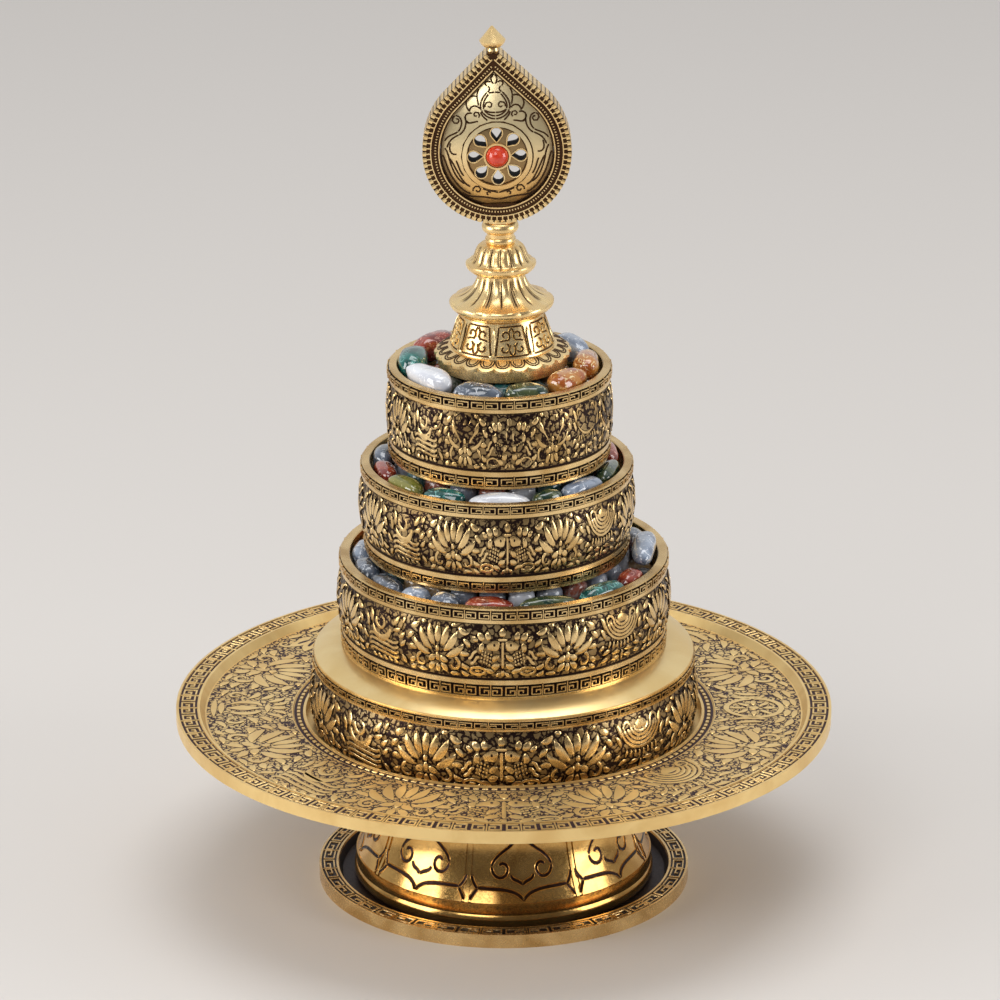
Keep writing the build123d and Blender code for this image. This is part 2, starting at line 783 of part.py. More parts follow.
# Base of the ornament: a plain rim, a scalloped skirt and a waisted band of panels, hollow below
pagoda = lean_plane(ornament_offset, ornament_floor, ornament_lean)
skirt_top = base_rim_height + skirt_height + skirt_rise
panel_top = skirt_top + base_panel_height
base_neck_radius = base_panel_top_radius - base_neck_inset
base_top = panel_top + base_neck_height
lobe_centre, lobe_radius = scallop_lobe(skirt_radius, skirt_lobes, skirt_scallop_depth)
with BuildPart() as ornament_base:
    with BuildSketch(pagoda):
        with BuildLine():
            Polyline(
                (0, base_rim_height),
                (skirt_radius, base_rim_height),
                (skirt_radius, base_rim_height + skirt_height),
            )
            ThreePointArc(
                (skirt_radius, base_rim_height + skirt_height),
                ((skirt_radius + base_panel_radius) / 2, base_rim_height + skirt_height + skirt_crown),
                (base_panel_radius, skirt_top),
            )
            Polyline(
                (base_panel_radius, skirt_top),
                (base_panel_top_radius, panel_top),
                (base_neck_radius, panel_top),
                (base_neck_radius, base_top),
                (0, base_top),
                (0, base_rim_height),
            )
        make_face()
    revolve(axis=up_axis(pagoda))
    with BuildSketch(level_plane(pagoda, base_rim_height)):
        Circle(skirt_radius - skirt_scallop_depth)
        with PolarLocations(lobe_centre, skirt_lobes):
            Circle(lobe_radius)
    extrude(amount=base_top - base_rim_height, mode=Mode.INTERSECT)
    with BuildSketch(level_plane(pagoda, 0)):
        Circle(base_rim_radius)
    extrude(amount=base_rim_height)
    with BuildSketch(pagoda):
        with BuildLine():
            Polyline(
                (0, 0),
                (base_rim_radius - base_wall, 0),
                (base_rim_radius - base_wall, base_rim_height),
                (base_panel_radius - base_wall, skirt_top - base_wall / 2),
                (base_neck_radius - base_wall, base_top - base_web),
                (0, base_top - base_web),
                close=True,
            )
        make_face()
    revolve(axis=up_axis(pagoda), mode=Mode.SUBTRACT)
    with BuildSketch(level_plane(pagoda, base_top - base_web)):
        Circle(rod_radius + slip)
    extrude(amount=base_web, mode=Mode.SUBTRACT)
save(ornament_base, "ornament_base")


def lotus_disc(foot_z, bottom_radius, rim_radius, rim_height, height, top_radius, hollow, lobes, depth):
    """A lotus tier: an undercut foot, a scalloped rim and a waisted top, bored for the rod."""
    rim_z = foot_z + rim_height
    middle = (
        top_radius + (rim_radius - top_radius) * hollow[0],
        rim_z + (height - rim_height) * hollow[1],
    )
    centre, radius = scallop_lobe(rim_radius, lobes, depth)
    with BuildPart() as disc:
        with BuildSketch(pagoda):
            with BuildLine():
                Polyline(
                    (rod_radius + slip, foot_z),
                    (bottom_radius, foot_z),
                    (rim_radius, rim_z),
                    (rim_radius - edge_height / 2, rim_z + edge_height),
                )
                ThreePointArc(
                    (rim_radius - edge_height / 2, rim_z + edge_height),
                    middle,
                    (top_radius, foot_z + height),
                )
                Polyline(
                    (top_radius, foot_z + height),
                    (rod_radius + slip, foot_z + height),
                    (rod_radius + slip, foot_z),
                )
            make_face()
        revolve(axis=up_axis(pagoda))
        with BuildSketch(level_plane(pagoda, foot_z)):
            with PolarLocations(centre, lobes):
                Circle(radius)
        extrude(amount=height, mode=Mode.INTERSECT)
    return disc


# Lotus tier with a hollow curve, and the rounder bell above it
lotus_tier = lotus_disc(
    base_top, tier_bottom_radius, tier_rim_radius, tier_rim_height, tier_height,
    tier_neck_radius, tier_hollow, tier_lobes, tier_scallop_depth,
)
save(lotus_tier, "lotus_tier")

bell_foot = base_top + tier_height
lotus_bell = lotus_disc(
    bell_foot, bell_bottom_radius, bell_rim_radius, bell_rim_height, bell_height,
    bell_top_radius, bell_hollow, bell_lobes, bell_scallop_depth,
)
save(lotus_bell, "lotus_bell")

# Turned neck with a small and a large bead
neck_foot = bell_foot + bell_height
neck_groove_z = neck_foot + neck_low_bead_height
neck_bead_z = neck_groove_z + neck_groove_height
neck_collar_z = neck_bead_z + neck_main_bead_height
neck_top = neck_collar_z + neck_collar_height
with BuildPart() as turned_neck:
    with BuildSketch(pagoda):
        with BuildLine():
            ThreePointArc(
                (neck_foot_radius, neck_foot),
                (neck_foot_radius + neck_low_bead_swell, neck_foot + neck_low_bead_height / 2),
                (neck_foot_radius, neck_groove_z),
            )
            Line((neck_foot_radius, neck_groove_z), (neck_foot_radius, neck_bead_z))
            ThreePointArc(
                (neck_foot_radius, neck_bead_z),
                (neck_foot_radius + neck_main_bead_swell, neck_bead_z + neck_main_bead_height / 2),
                (neck_foot_radius, neck_collar_z),
            )
            Polyline(
                (neck_foot_radius, neck_collar_z),
                (neck_collar_radius, neck_collar_z),
                (neck_collar_radius, neck_top),
                (rod_radius + slip, neck_top),
                (rod_radius + slip, neck_foot),
                (neck_foot_radius, neck_foot),
            )
        make_face()
    revolve(axis=up_axis(pagoda))
save(turned_neck, "turned_neck")

# Rod, washer and nut that draw the ornament together
rod_foot = base_top - base_web - rod_washer_thickness - rod_nut_height
with BuildPart() as ornament_rod:
    with BuildSketch(level_plane(pagoda, rod_foot)):
        Circle(rod_radius)
    extrude(amount=neck_top + rod_thread_length - rod_foot)
save(ornament_rod, "ornament_rod")

with BuildPart() as rod_washer:
    with BuildSketch(level_plane(pagoda, rod_foot + rod_nut_height)):
        Circle(rod_washer_radius)
        Circle(rod_radius + slip, mode=Mode.SUBTRACT)
    extrude(amount=rod_washer_thickness)
save(rod_washer, "rod_washer")

with BuildPart() as rod_nut:
    with BuildSketch(level_plane(pagoda, rod_foot)):
        RegularPolygon(rod_nut_radius, 6)
        Circle(rod_radius + slip, mode=Mode.SUBTRACT)
    extrude(amount=rod_nut_height)
save(rod_nut, "rod_nut")

# Leaf: a thick frame around a thinner pierced field, seen alike from the front and the back
leaf_seat = neck_top + slip + neck_collar_radius * sin(radians(leaf_lean))
leaf_foot = pagoda.origin + pagoda.y_dir * leaf_seat
leaf = lean_plane(leaf_foot.X, leaf_foot.Z, leaf_lean)
leaf_centre_height = sqrt(leaf_radius**2 - leaf_foot_half_width**2)
leaf_shoulder_height = leaf_centre_height + leaf_shoulder_rise


def leaf_face(inset):
    """The leaf's outline, drawn in by an inset: a circle below a pointed shoulder."""
    foot_turn = asin(leaf_centre_height / leaf_radius) / 2
    with BuildSketch(leaf) as face:
        with BuildLine():
            for side in (1, -1):
                foot = (side * leaf_foot_half_width, 0)
                widest = (side * leaf_radius, leaf_centre_height)
                between = (
                    side * leaf_radius * cos(foot_turn),
                    leaf_centre_height - leaf_radius * sin(foot_turn),
                )
                ThreePointArc(foot, between, widest)
                shoulder = TangentArc(
                    widest, (side * leaf_shoulder_half_width, leaf_shoulder_height), tangent=(0, 1)
                )
                Line(shoulder @ 1, (side * leaf_tip_half_width, leaf_height))
            Line((leaf_tip_half_width, leaf_height), (-leaf_tip_half_width, leaf_height))
            Line((leaf_foot_half_width, 0), (-leaf_foot_half_width, 0))
        make_face()
        if inset:
            offset(amount=-inset, kind=Kind.INTERSECTION, mode=Mode.REPLACE)
    return face.sketch


leaf_whole = leaf_face(0)
frame_opening = leaf_face(leaf_border)
field_outline = leaf_face(leaf_border + slip)

with BuildPart() as leaf_frame:
    extrude(leaf_whole, amount=leaf_thickness / 2, both=True)
    extrude(frame_opening, amount=leaf_thickness / 2, both=True, mode=Mode.SUBTRACT)
    with BuildSketch(level_plane(pagoda, neck_top)):
        Circle(rod_radius + slip)
    extrude(amount=rod_thread_length + slip, mode=Mode.SUBTRACT)
save(leaf_frame, "leaf_frame")

wheel = Plane(origin=leaf.origin + leaf.y_dir * wheel_height, x_dir=leaf.x_dir, z_dir=leaf.z_dir)
petal_hole_start = coral_radius + slip + bezel_wall + petal_hole_foot_gap
petal_hole_reach = wheel_radius - wheel_ring_width - petal_hole_tip_gap
petal_centre = petal_hole_reach - petal_hole_radius
petal_side = asin(petal_hole_radius / (petal_centre - petal_hole_start))
petal_touch = (petal_centre - petal_hole_radius * sin(petal_side), petal_hole_radius * cos(petal_side))
with BuildSketch() as petal:
    with BuildLine():
        Line((petal_hole_start, 0), petal_touch)
        ThreePointArc(petal_touch, (petal_hole_reach, 0), (petal_touch[0], -petal_touch[1]))
        Line((petal_touch[0], -petal_touch[1]), (petal_hole_start, 0))
    make_face()
petal_hole = petal.sketch
with BuildPart() as leaf_field:
    extrude(field_outline, amount=leaf_field_thickness / 2, both=True)
    with BuildSketch(wheel):
        Circle(wheel_radius)
        Circle(wheel_radius - wheel_ring_width, mode=Mode.SUBTRACT)
    extrude(amount=leaf_field_thickness / 2 + wheel_ring_rise, both=True)
    with BuildSketch(wheel):
        with PolarLocations(0, petal_hole_count):
            add(petal_hole)
    extrude(amount=leaf_thickness, both=True, mode=Mode.SUBTRACT)
save(leaf_field, "leaf_field")

# Coral cabochons and their bezels on both faces of the leaf
for side_name, side in (("front", 1), ("back", -1)):
    face_plane = Plane(
        origin=wheel.origin + wheel.z_dir * side * leaf_field_thickness / 2,
        x_dir=wheel.x_dir,
        z_dir=wheel.z_dir * side,
    )
    with BuildPart() as bezel:
        with BuildSketch(face_plane):
            Circle(coral_radius + slip + bezel_wall)
            Circle(coral_radius + slip, mode=Mode.SUBTRACT)
        extrude(amount=bezel_height)
    save(bezel, f"bezel_{side_name}")
    section = Plane(origin=face_plane.origin, x_dir=face_plane.x_dir, z_dir=face_plane.y_dir * -1)
    with BuildPart() as coral:
        with BuildSketch(section):
            with BuildLine():
                ThreePointArc(
                    (coral_radius, 0),
                    (coral_radius * sqrt(0.5), coral_height * sqrt(0.5)),
                    (coral_crown_radius, coral_height),
                )
                Polyline((coral_crown_radius, coral_height), (0, coral_height), (0, 0), (coral_radius, 0))
            make_face()
        revolve(axis=Axis(face_plane.origin, face_plane.z_dir))
    save(coral, f"coral_{side_name}")

# Finial: a pointed bud on a short neck at the leaf's tip
bud = lean_plane(
    leaf.origin.X + leaf.y_dir.X * leaf_height,
    leaf.origin.Z + leaf.y_dir.Z * leaf_height,
    leaf_lean,
)
finial_neck_radius = leaf_tip_half_width - finial_neck_inset
finial_point_height = finial_height - finial_bulge_height
with BuildPart() as finial:
    with BuildSketch(bud):
        with BuildLine():
            Polyline((0, 0), (leaf_tip_half_width, 0), (finial_neck_radius, finial_neck_height))
            ThreePointArc(
                (finial_neck_radius, finial_neck_height),
                (finial_radius * finial_cheek[0], finial_bulge_height * finial_cheek[1]),
                (finial_radius, finial_bulge_height),
            )
            ThreePointArc(
                (finial_radius, finial_bulge_height),
                (
                    finial_radius * finial_flank[0],
                    finial_bulge_height + finial_point_height * finial_flank[1],
                ),
                (finial_tip_radius, finial_height),
            )
            Polyline((finial_tip_radius, finial_height), (0, finial_height), (0, 0))
        make_face()
    revolve(axis=up_axis(bud))
save(finial, "finial")
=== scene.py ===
import logging
import math
import random
from collections.abc import Callable, Sequence
from dataclasses import dataclass, replace
from enum import Enum

import bmesh
import bpy
from mathutils import Matrix, Vector, noise


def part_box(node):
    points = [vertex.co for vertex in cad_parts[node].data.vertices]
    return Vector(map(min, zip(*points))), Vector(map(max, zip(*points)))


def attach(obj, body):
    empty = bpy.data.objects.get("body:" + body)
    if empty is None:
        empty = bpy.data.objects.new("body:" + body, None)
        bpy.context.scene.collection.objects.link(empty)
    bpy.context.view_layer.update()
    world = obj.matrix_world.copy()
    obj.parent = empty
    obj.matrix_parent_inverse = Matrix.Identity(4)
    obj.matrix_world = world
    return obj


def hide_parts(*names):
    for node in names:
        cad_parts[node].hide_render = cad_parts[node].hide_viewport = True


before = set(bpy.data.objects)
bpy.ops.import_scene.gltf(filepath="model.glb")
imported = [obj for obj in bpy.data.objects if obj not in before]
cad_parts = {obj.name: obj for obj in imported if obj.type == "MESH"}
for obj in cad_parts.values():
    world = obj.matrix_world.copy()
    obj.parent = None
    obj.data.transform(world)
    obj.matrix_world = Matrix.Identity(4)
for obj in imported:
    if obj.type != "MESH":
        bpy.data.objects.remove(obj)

# The dressed Tibetan mandala offering plate. Sizes in this file are in millimetres until a mesh is
# finished, azimuths are in degrees from the front towards the viewer's right, and every motif is
# drawn flat, x to the right, y up and h out of the metal, before it is laid on its surface.

log = logging.getLogger("mandala")
MM = 0.001
Point = tuple[float, float]
Colour = tuple[float, float, float]
Place = Callable[[float, float, float], Vector]
Chasing = Callable[[float, float], tuple[float, float, float]]


def polar(radius: float, azimuth: float, z: float, centre_x: float = 0.0) -> Vector:
    """Gives the point at a radius and an azimuth in radians around an upright axis."""
    return Vector((centre_x + radius * math.sin(azimuth), -radius * math.cos(azimuth), z))


def bearings(azimuth: float) -> tuple[Vector, Vector]:
    """Gives the level directions along and outwards at an azimuth in radians."""
    cosine, sine = math.cos(azimuth), math.sin(azimuth)
    return Vector((cosine, sine, 0)), Vector((sine, -cosine, 0))


def box_mm(node: str) -> tuple[Vector, Vector]:
    """Gives a node's lowest and highest corner in millimetres."""
    low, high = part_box(node)
    return low / MM, high / MM


class Sock:
    """A shader socket that can be used in Python expressions."""

    def __init__(self, shader: "Shader", socket: bpy.types.NodeSocket | None) -> None:
        """Keeps the socket and the shader that it belongs to."""
        self.shader = shader
        self.socket = socket

    def maths(self, operation: str, *values: "Sock | float") -> "Sock":
        """Adds a Math node.

        Args:
            operation: the node's operation.
            values: its inputs in order.

        Returns:
            The node's value.
        """
        return self.shader.node("ShaderNodeMath", {"operation": operation}, dict(enumerate(values)))

    def __add__(self, other: "Sock | float") -> "Sock":
        """Adds."""
        return self.maths("ADD", self, other)

    def __radd__(self, other: float) -> "Sock":
        """Adds to a number."""
        return self.maths("ADD", other, self)

    def __sub__(self, other: "Sock | float") -> "Sock":
        """Subtracts."""
        return self.maths("SUBTRACT", self, other)

    def __rsub__(self, other: float) -> "Sock":
        """Subtracts from a number."""
        return self.maths("SUBTRACT", other, self)

    def __mul__(self, other: "Sock | float") -> "Sock":
        """Multiplies."""
        return self.maths("MULTIPLY", self, other)

    def __rmul__(self, other: float) -> "Sock":
        """Multiplies a number."""
        return self.maths("MULTIPLY", other, self)

    def power(self, exponent: float) -> "Sock":
        """Raises to a power."""
        return self.maths("POWER", self, exponent)

    def rise(self, start: float, end: float) -> "Sock":
        """Rises smoothly from 0 at start to 1 at end."""
        settings = {"interpolation_type": "SMOOTHSTEP"}
        inputs = {0: self, 1: start, 2: end, 3: 0.0, 4: 1.0}
        return self.shader.node("ShaderNodeMapRange", settings, inputs)

    def between(self, low: float, high: float, edge: float) -> "Sock":
        """Is 1 between two values and 0 outside them, with soft edges."""
        return self.rise(low - edge, low + edge) * (1 - self.rise(high - edge, high + edge))

    def larger(self, other: "Sock") -> "Sock":
        """Takes the larger of two values."""
        return self.maths("MAXIMUM", self, other)


class Shader:
    """A material or a world under construction."""

    def __init__(self, name: str, family: str = "materials") -> None:
        """Starts a data block of a family without nodes."""
        self.owner = getattr(bpy.data, family).new(name)
        self.owner.use_nodes = True
        self.tree = self.owner.node_tree
        self.tree.nodes.clear()

    def node(
        self, kind: str, settings: dict | None = None, inputs: dict | None = None, out: int = 0,
    ) -> Sock:
        """Adds a node of any kind.

        Args:
            kind: the node's type.
            settings: its own properties, and "stops" for a ramp's positions and colours.
            inputs: values or links for its sockets, by name or number.
            out: the number of the output that is wanted.

        Returns:
            That output.
        """
        made = self.tree.nodes.new(kind)
        for key, value in (settings or {}).items():
            if key == "stops":
                elements = made.color_ramp.elements
                for position, colour in value[2:]:
                    elements.new(position)
                for element, (position, colour) in zip(elements, value):
                    element.position = position
                    element.color = (*colour, 1.0)
            else:
                setattr(made, key, value)
        for key, value in (inputs or {}).items():
            if isinstance(value, Sock):
                self.tree.links.new(value.socket, made.inputs[key])
            else:
                made.inputs[key].default_value = value
        return Sock(self, made.outputs[out] if made.outputs else None)

    def place(self, scale: float = 1.0) -> Sock:
        """Gives Object coordinates in millimetres, times a scale."""
        here = self.node("ShaderNodeTexCoord", out=3)
        return self.node("ShaderNodeVectorMath", {"operation": "SCALE"}, {0: here, "Scale": scale / MM})

    def split(self, vector: Sock) -> tuple[Sock, Sock, Sock]:
        """Splits a vector into its three numbers."""
        first = self.node("ShaderNodeSeparateXYZ", inputs={0: vector})
        outputs = first.socket.node.outputs
        return first, Sock(self, outputs[1]), Sock(self, outputs[2])

    def mottle(self, where: Sock, scale: float, detail: float = 3.0, warp: float = 0.0) -> Sock:
        """Gives noise from 0 to 1 at a number of grains per millimetre."""
        values = {"Vector": where, "Scale": scale, "Detail": detail, "Distortion": warp}
        return self.node("ShaderNodeTexNoise", {}, values)

    def bent(self, where: Sock, scale: float, amount: float) -> Sock:
        """Bends coordinates by noise, with its grains per millimetre and its reach in millimetres."""
        values = {"Vector": where, "Scale": scale, "Detail": 2.0}
        push = self.node("ShaderNodeTexNoise", {}, values, out=1)
        inputs = {0: push, 1: (amount, amount, amount), 2: where}
        return self.node("ShaderNodeVectorMath", {"operation": "MULTIPLY_ADD"}, inputs)

    def blend(self, factor: "Sock | float", first: "Sock | Colour", second: "Sock | Colour") -> Sock:
        """Mixes two colours."""
        pair = [value if isinstance(value, Sock) else (*value, 1.0) for value in (first, second)]
        settings = {"data_type": "RGBA"}
        return self.node("ShaderNodeMix", settings, {0: factor, 6: pair[0], 7: pair[1]}, out=2)

    def bump(self, height: Sock, distance: float, strength: float = 1.0) -> Sock:
        """Turns a height into a normal, with its distance in millimetres."""
        values = {"Height": height, "Distance": distance * MM, "Strength": strength}
        return self.node("ShaderNodeBump", {}, values)

    def close(self, inputs: dict) -> bpy.types.Material:
        """Ends the material with a Principled shader.

        Args:
            inputs: the shader's values and links.

        Returns:
            The finished material.
        """
        surface = self.node("ShaderNodeBsdfPrincipled", {}, inputs)
        self.node("ShaderNodeOutputMaterial", {}, {"Surface": surface})
        return self.owner


SCALE_DEPTH = 0.06          # of the chased scales
LEVEL_EDGE = 0.06           # softness of a ground's edge in height
RADIUS_EDGE = 0.08          # and in radius
STEP_EDGE = 0.1             # softness where the metal steps up to a ground


@dataclass(frozen=True)
class Brass:
    """A brass finish: bright metal with dark patina where a motif's crest or a sunk ground is low."""

    name: str
    bright: Colour = (0.88, 0.64, 0.31)
    warm: Colour = (0.58, 0.37, 0.14)
    dark: Colour = (0.022, 0.011, 0.009)
    roughness: float = 0.21
    metallic: float = 0.92
    grain: float = 0.002            # depth of the fine grain
    crested: bool = False           # the piece carries a crest value, low beside its grooves
    grounds: tuple = ()             # heights between which the metal outside a radius is chased
    bands: tuple = ()               # the same, where it is plainly dark
    rounds: tuple = ()              # radii between which the metal above a height is chased
    circles: tuple = ()             # the same, where it is plainly dark
    centre_x: float = 0.0
    cells: float = 0.42             # chased scales per millimetre on those grounds
    line: float = 0.15              # width of the dark lines between them, as a share of a scale
    ground: float = 0.6             # how dark the scales themselves are

    @staticmethod
    def sunk(low: Sock | None, z: Sock, radius: Sock, levels: tuple, rings: tuple) -> Sock | None:
        """Adds sunk grounds to what lies low already.

        Args:
            low: what lies low, where anything does.
            z: the height.
            radius: the distance from the axis.
            levels: rows of a ground's bottom, top and inner radius.
            rings: rows of a ground's inner radius, outer radius and bottom.

        Returns:
            What lies low now, where anything does.
        """
        masks = [
            z.between(bottom, top, LEVEL_EDGE) * radius.rise(inside - STEP_EDGE, inside)
            for bottom, top, inside in levels
        ]
        masks += [
            radius.between(inner, outer, RADIUS_EDGE) * z.rise(bottom - STEP_EDGE, bottom)
            for inner, outer, bottom in rings
        ]
        for mask in masks:
            low = mask if low is None else low.larger(mask)
        return low

    def material(self) -> bpy.types.Material:
        """Builds the finish."""
        shader = Shader(self.name)
        where = shader.place()
        cloud = shader.mottle(where, 0.07, 4.0, 0.6)
        fine = shader.mottle(where, 1.6, 2.0)
        metal = shader.blend(cloud.rise(0.3, 0.7), self.bright, self.warm)
        low = None
        if self.crested:
            crest = shader.node("ShaderNodeAttribute", {"attribute_name": "crest"}, out=2)
            low = 1 - crest.rise(0.15, 0.75)
        x, y, z = shader.split(where)
        radius = ((x - self.centre_x).power(2.0) + y.power(2.0)).power(0.5)
        low = self.sunk(low, z, radius, self.grounds, self.rounds)
        rough = self.roughness + 0.1 * fine.rise(0.35, 0.75)
        height = fine * self.grain
        if low is not None:
            curled = shader.bent(where, 0.55, 2.6)
            values = {"Vector": curled, "Scale": self.cells}
            scales = shader.node("ShaderNodeTexVoronoi", {"feature": "DISTANCE_TO_EDGE"}, values)
            height = height + scales.rise(0.0, 0.3) * low * SCALE_DEPTH
            if self.grounds or self.rounds:
                worn = scales.rise(self.line * 0.55, self.line * 1.25) * (1 - self.ground)
                low = low * (1 - worn)
        low = self.sunk(low, z, radius, self.bands, self.circles)
        if low is not None:
            metal = shader.blend(low, metal, self.dark)
            rough = rough + 0.2 * low
        return shader.close({
            "Base Color": metal,
            "Metallic": self.metallic,
            "Roughness": rough,
            "Normal": shader.bump(height, 1.0),
        })


@dataclass(frozen=True)
class Agate:
    """A tumbled stone: two colours in bent bands with a third in veins, under a glossy skin."""

    name: str
    body: Colour
    band: Colour
    vein: Colour
    band_scale: float = 0.06
    roughness: float = 0.04

    def material(self) -> bpy.types.Material:
        """Builds the finish."""
        shader = Shader(self.name)
        where = shader.place()
        cloud = shader.mottle(where, 0.08, 4.0, 1.2)
        settings = {"wave_type": "BANDS", "bands_direction": "DIAGONAL"}
        values = {"Vector": where, "Scale": self.band_scale, "Distortion": 7.0, "Detail": 3.0}
        bands = shader.node("ShaderNodeTexWave", settings, values | {"Detail Scale": 0.6}, out=1)
        veins = shader.mottle(where, 0.35, 6.0, 2.5)
        colour = shader.blend(bands.rise(0.3, 0.75) * 0.6, self.body, self.band)
        colour = shader.blend(cloud.rise(0.48, 0.6) * 0.6, colour, self.band)
        colour = shader.blend(veins.rise(0.57, 0.66) * 0.85, colour, self.vein)
        return shader.close({
            "Base Color": colour,
            "Roughness": self.roughness + 0.12 * veins,
            "IOR": 1.54,
            "Coat Weight": 1.0,
            "Coat Roughness": 0.02,
            "Normal": shader.bump(cloud, 0.25, 0.25),
        })


STONE_COLOURS = {
    "red": Agate("red_agate", (0.17, 0.014, 0.008), (0.36, 0.050, 0.020), (0.72, 0.38, 0.30)),
    "green": Agate("moss_agate", (0.006, 0.030, 0.018), (0.070, 0.090, 0.030), (0.30, 0.34, 0.22)),
    "teal": Agate("teal_agate", (0.001, 0.050, 0.046), (0.004, 0.16, 0.14), (0.20, 0.50, 0.46)),
    "amber": Agate("amber_agate", (0.34, 0.085, 0.012), (0.58, 0.27, 0.055), (0.90, 0.74, 0.40)),
    "white": Agate("milky_agate", (0.60, 0.62, 0.68), (0.78, 0.80, 0.84), (0.95, 0.95, 0.96)),
    "grey": Agate("grey_agate", (0.045, 0.060, 0.080), (0.16, 0.19, 0.25), (0.66, 0.70, 0.76)),
    "medium_amber": Agate("olive_jasper", (0.13, 0.14, 0.018), (0.26, 0.24, 0.045), (0.50, 0.46, 0.20)),
    "clear": Agate("pale_agate", (0.14, 0.18, 0.26), (0.34, 0.40, 0.50), (0.86, 0.89, 0.93)),
}


class Nib(Enum):
    """How a stroke's width runs from its start to its end."""

    ROUND = "even, with round ends"
    LEAF = "pointed at both ends"
    DROP = "round at the start and pointed at the end"
    BAR = "even, with square ends"

    def width(self, share: float, end: float) -> float:
        """Gives the width at a share of the length.

        Args:
            share: from 0 at the start to 1 at the end.
            end: the round end's share of the length.

        Returns:
            The width as a share of the full one.
        """
        if self is Nib.BAR:
            return 1.0
        if self is Nib.LEAF:
            return math.sin(math.pi * share) ** 0.75
        start = min(1.0, share / end)
        round_start = math.sqrt(max(0.0, 1 - (1 - start) ** 2))
        if self is Nib.DROP:
            return round_start * (1 - share) ** 0.55
        finish = min(1.0, (1 - share) / end)
        return round_start * math.sqrt(max(0.0, 1 - (1 - finish) ** 2))


@dataclass(frozen=True)
class Bend:
    """A stroke along a Bezier curve of any degree."""

    points: tuple[Point, ...]
    width: float
    nib: Nib = Nib.LEAF
    tone: float = 1.0
    rise: float = 1.0               # height over the motif's full height
    cut: bool = False               # an engraved line with raised lips

    def at(self, share: float) -> Vector:
        """Gives the point at a share of the curve."""
        row = [Vector(point) for point in self.points]
        while len(row) > 1:
            row = [first.lerp(second, share) for first, second in zip(row, row[1:])]
        return row[0]

    def mirrored(self) -> "Bend":
        """Gives the same stroke on the other side."""
        return replace(self, points=tuple((-x, y) for x, y in self.points))


@dataclass(frozen=True)
class Curl:
    """A stroke along a spiral or, where both radii are equal, an arc or an ellipse."""

    centre: Point
    radii: Point                    # at the start and at the end
    angles: Point                   # in degrees, counter-clockwise from the right
    width: float
    nib: Nib = Nib.DROP
    tone: float = 1.0
    squash: float = 1.0             # height over width
    rise: float = 1.0
    cut: bool = False

    def at(self, share: float) -> Vector:
        """Gives the point at a share of the spiral."""
        radius = self.radii[0] + (self.radii[1] - self.radii[0]) * share
        angle = math.radians(self.angles[0] + (self.angles[1] - self.angles[0]) * share)
        return Vector((
            self.centre[0] + radius * math.cos(angle),
            self.centre[1] + radius * self.squash * math.sin(angle),
        ))

    def mirrored(self) -> "Curl":
        """Gives the same stroke on the other side."""
        angles = (180 - self.angles[0], 180 - self.angles[1])
        return replace(self, centre=(-self.centre[0], self.centre[1]), angles=angles)


@dataclass(frozen=True)
class Trail:
    """A stroke of even width along a row of points that lie close together."""

    points: tuple[Point, ...]
    width: float
    tone: float = 1.0
    rise: float = 1.0
    cut: bool = False


@dataclass(frozen=True)
class Key:
    """A stroke of even width along straight runs with mitred corners."""

    points: tuple[Point, ...]
    width: float
    tone: float = 1.0
    rise: float = 1.0


Stroke = Bend | Curl | Trail | Key

# Cross-sections of strokes: across from edge to edge, height, and how bright the metal is there
SINK = -0.35                # a stroke's edges start below the surface that it lies on
CROWNED = (
    (-1.0, SINK, 0.0), (-0.88, 0.8, 0.35), (-0.68, 1.0, 1.0),
    (0.68, 1.0, 1.0), (0.88, 0.8, 0.35), (1.0, SINK, 0.0),
)
SQUARE = ((-1.0, SINK, 0.0), (-0.7, 1.0, 1.0), (0.7, 1.0, 1.0), (1.0, SINK, 0.0))
ENGRAVED = (
    (-1.0, SINK, 1.0), (-0.75, 1.0, 1.0), (-0.5, 0.12, 0.0),
    (0.5, 0.12, 0.0), (0.75, 1.0, 1.0), (1.0, SINK, 1.0),
)
STATION_PITCH = 0.9         # distance between the points of a curved stroke
MOST_STATIONS = 26
SHARPEST_MITRE = 0.3        # keeps a corner from growing too long
DARK_RISE = 0.3             # how far a dark line stands out, over the motif's full height


def stations(stroke: Stroke) -> list[tuple[Vector, Vector, float]]:
    """Gives a stroke's points, the vector to its left edge at each, and its width's share."""
    if isinstance(stroke, (Key, Trail)):
        spots = [Vector(point) for point in stroke.points]
        rows = []
        for index, spot in enumerate(spots):
            before = (spot - spots[index - 1]).normalized() if index else None
            after = (spots[index + 1] - spot).normalized() if index + 1 < len(spots) else None
            run = before or after
            side = Vector((-run.y, run.x))
            if before and after:
                mitre = (side + Vector((-after.y, after.x))).normalized()
                side = mitre / max(SHARPEST_MITRE, mitre.dot(side))
            rows.append((spot, side * stroke.width / 2, 1.0))
        return rows
    coarse = [stroke.at(step / 12) for step in range(13)]
    length = sum((second - first).length for first, second in zip(coarse, coarse[1:]))
    count = max(5, min(MOST_STATIONS, round(length / STATION_PITCH) + 3))
    end = min(0.5, stroke.width / max(length, 0.01) / 2)
    shares = [(1 - math.cos(math.pi * step / count)) / 2 for step in range(count + 1)]
    spots = [stroke.at(share) for share in shares]
    rows = []
    for index, (share, spot) in enumerate(zip(shares, spots)):
        run = (spots[min(index + 1, count)] - spots[max(index - 1, 0)]).normalized()
        width = stroke.nib.width(share, end)
        rows.append((spot, Vector((-run.y, run.x)) * width * stroke.width / 2, width))
    return rows


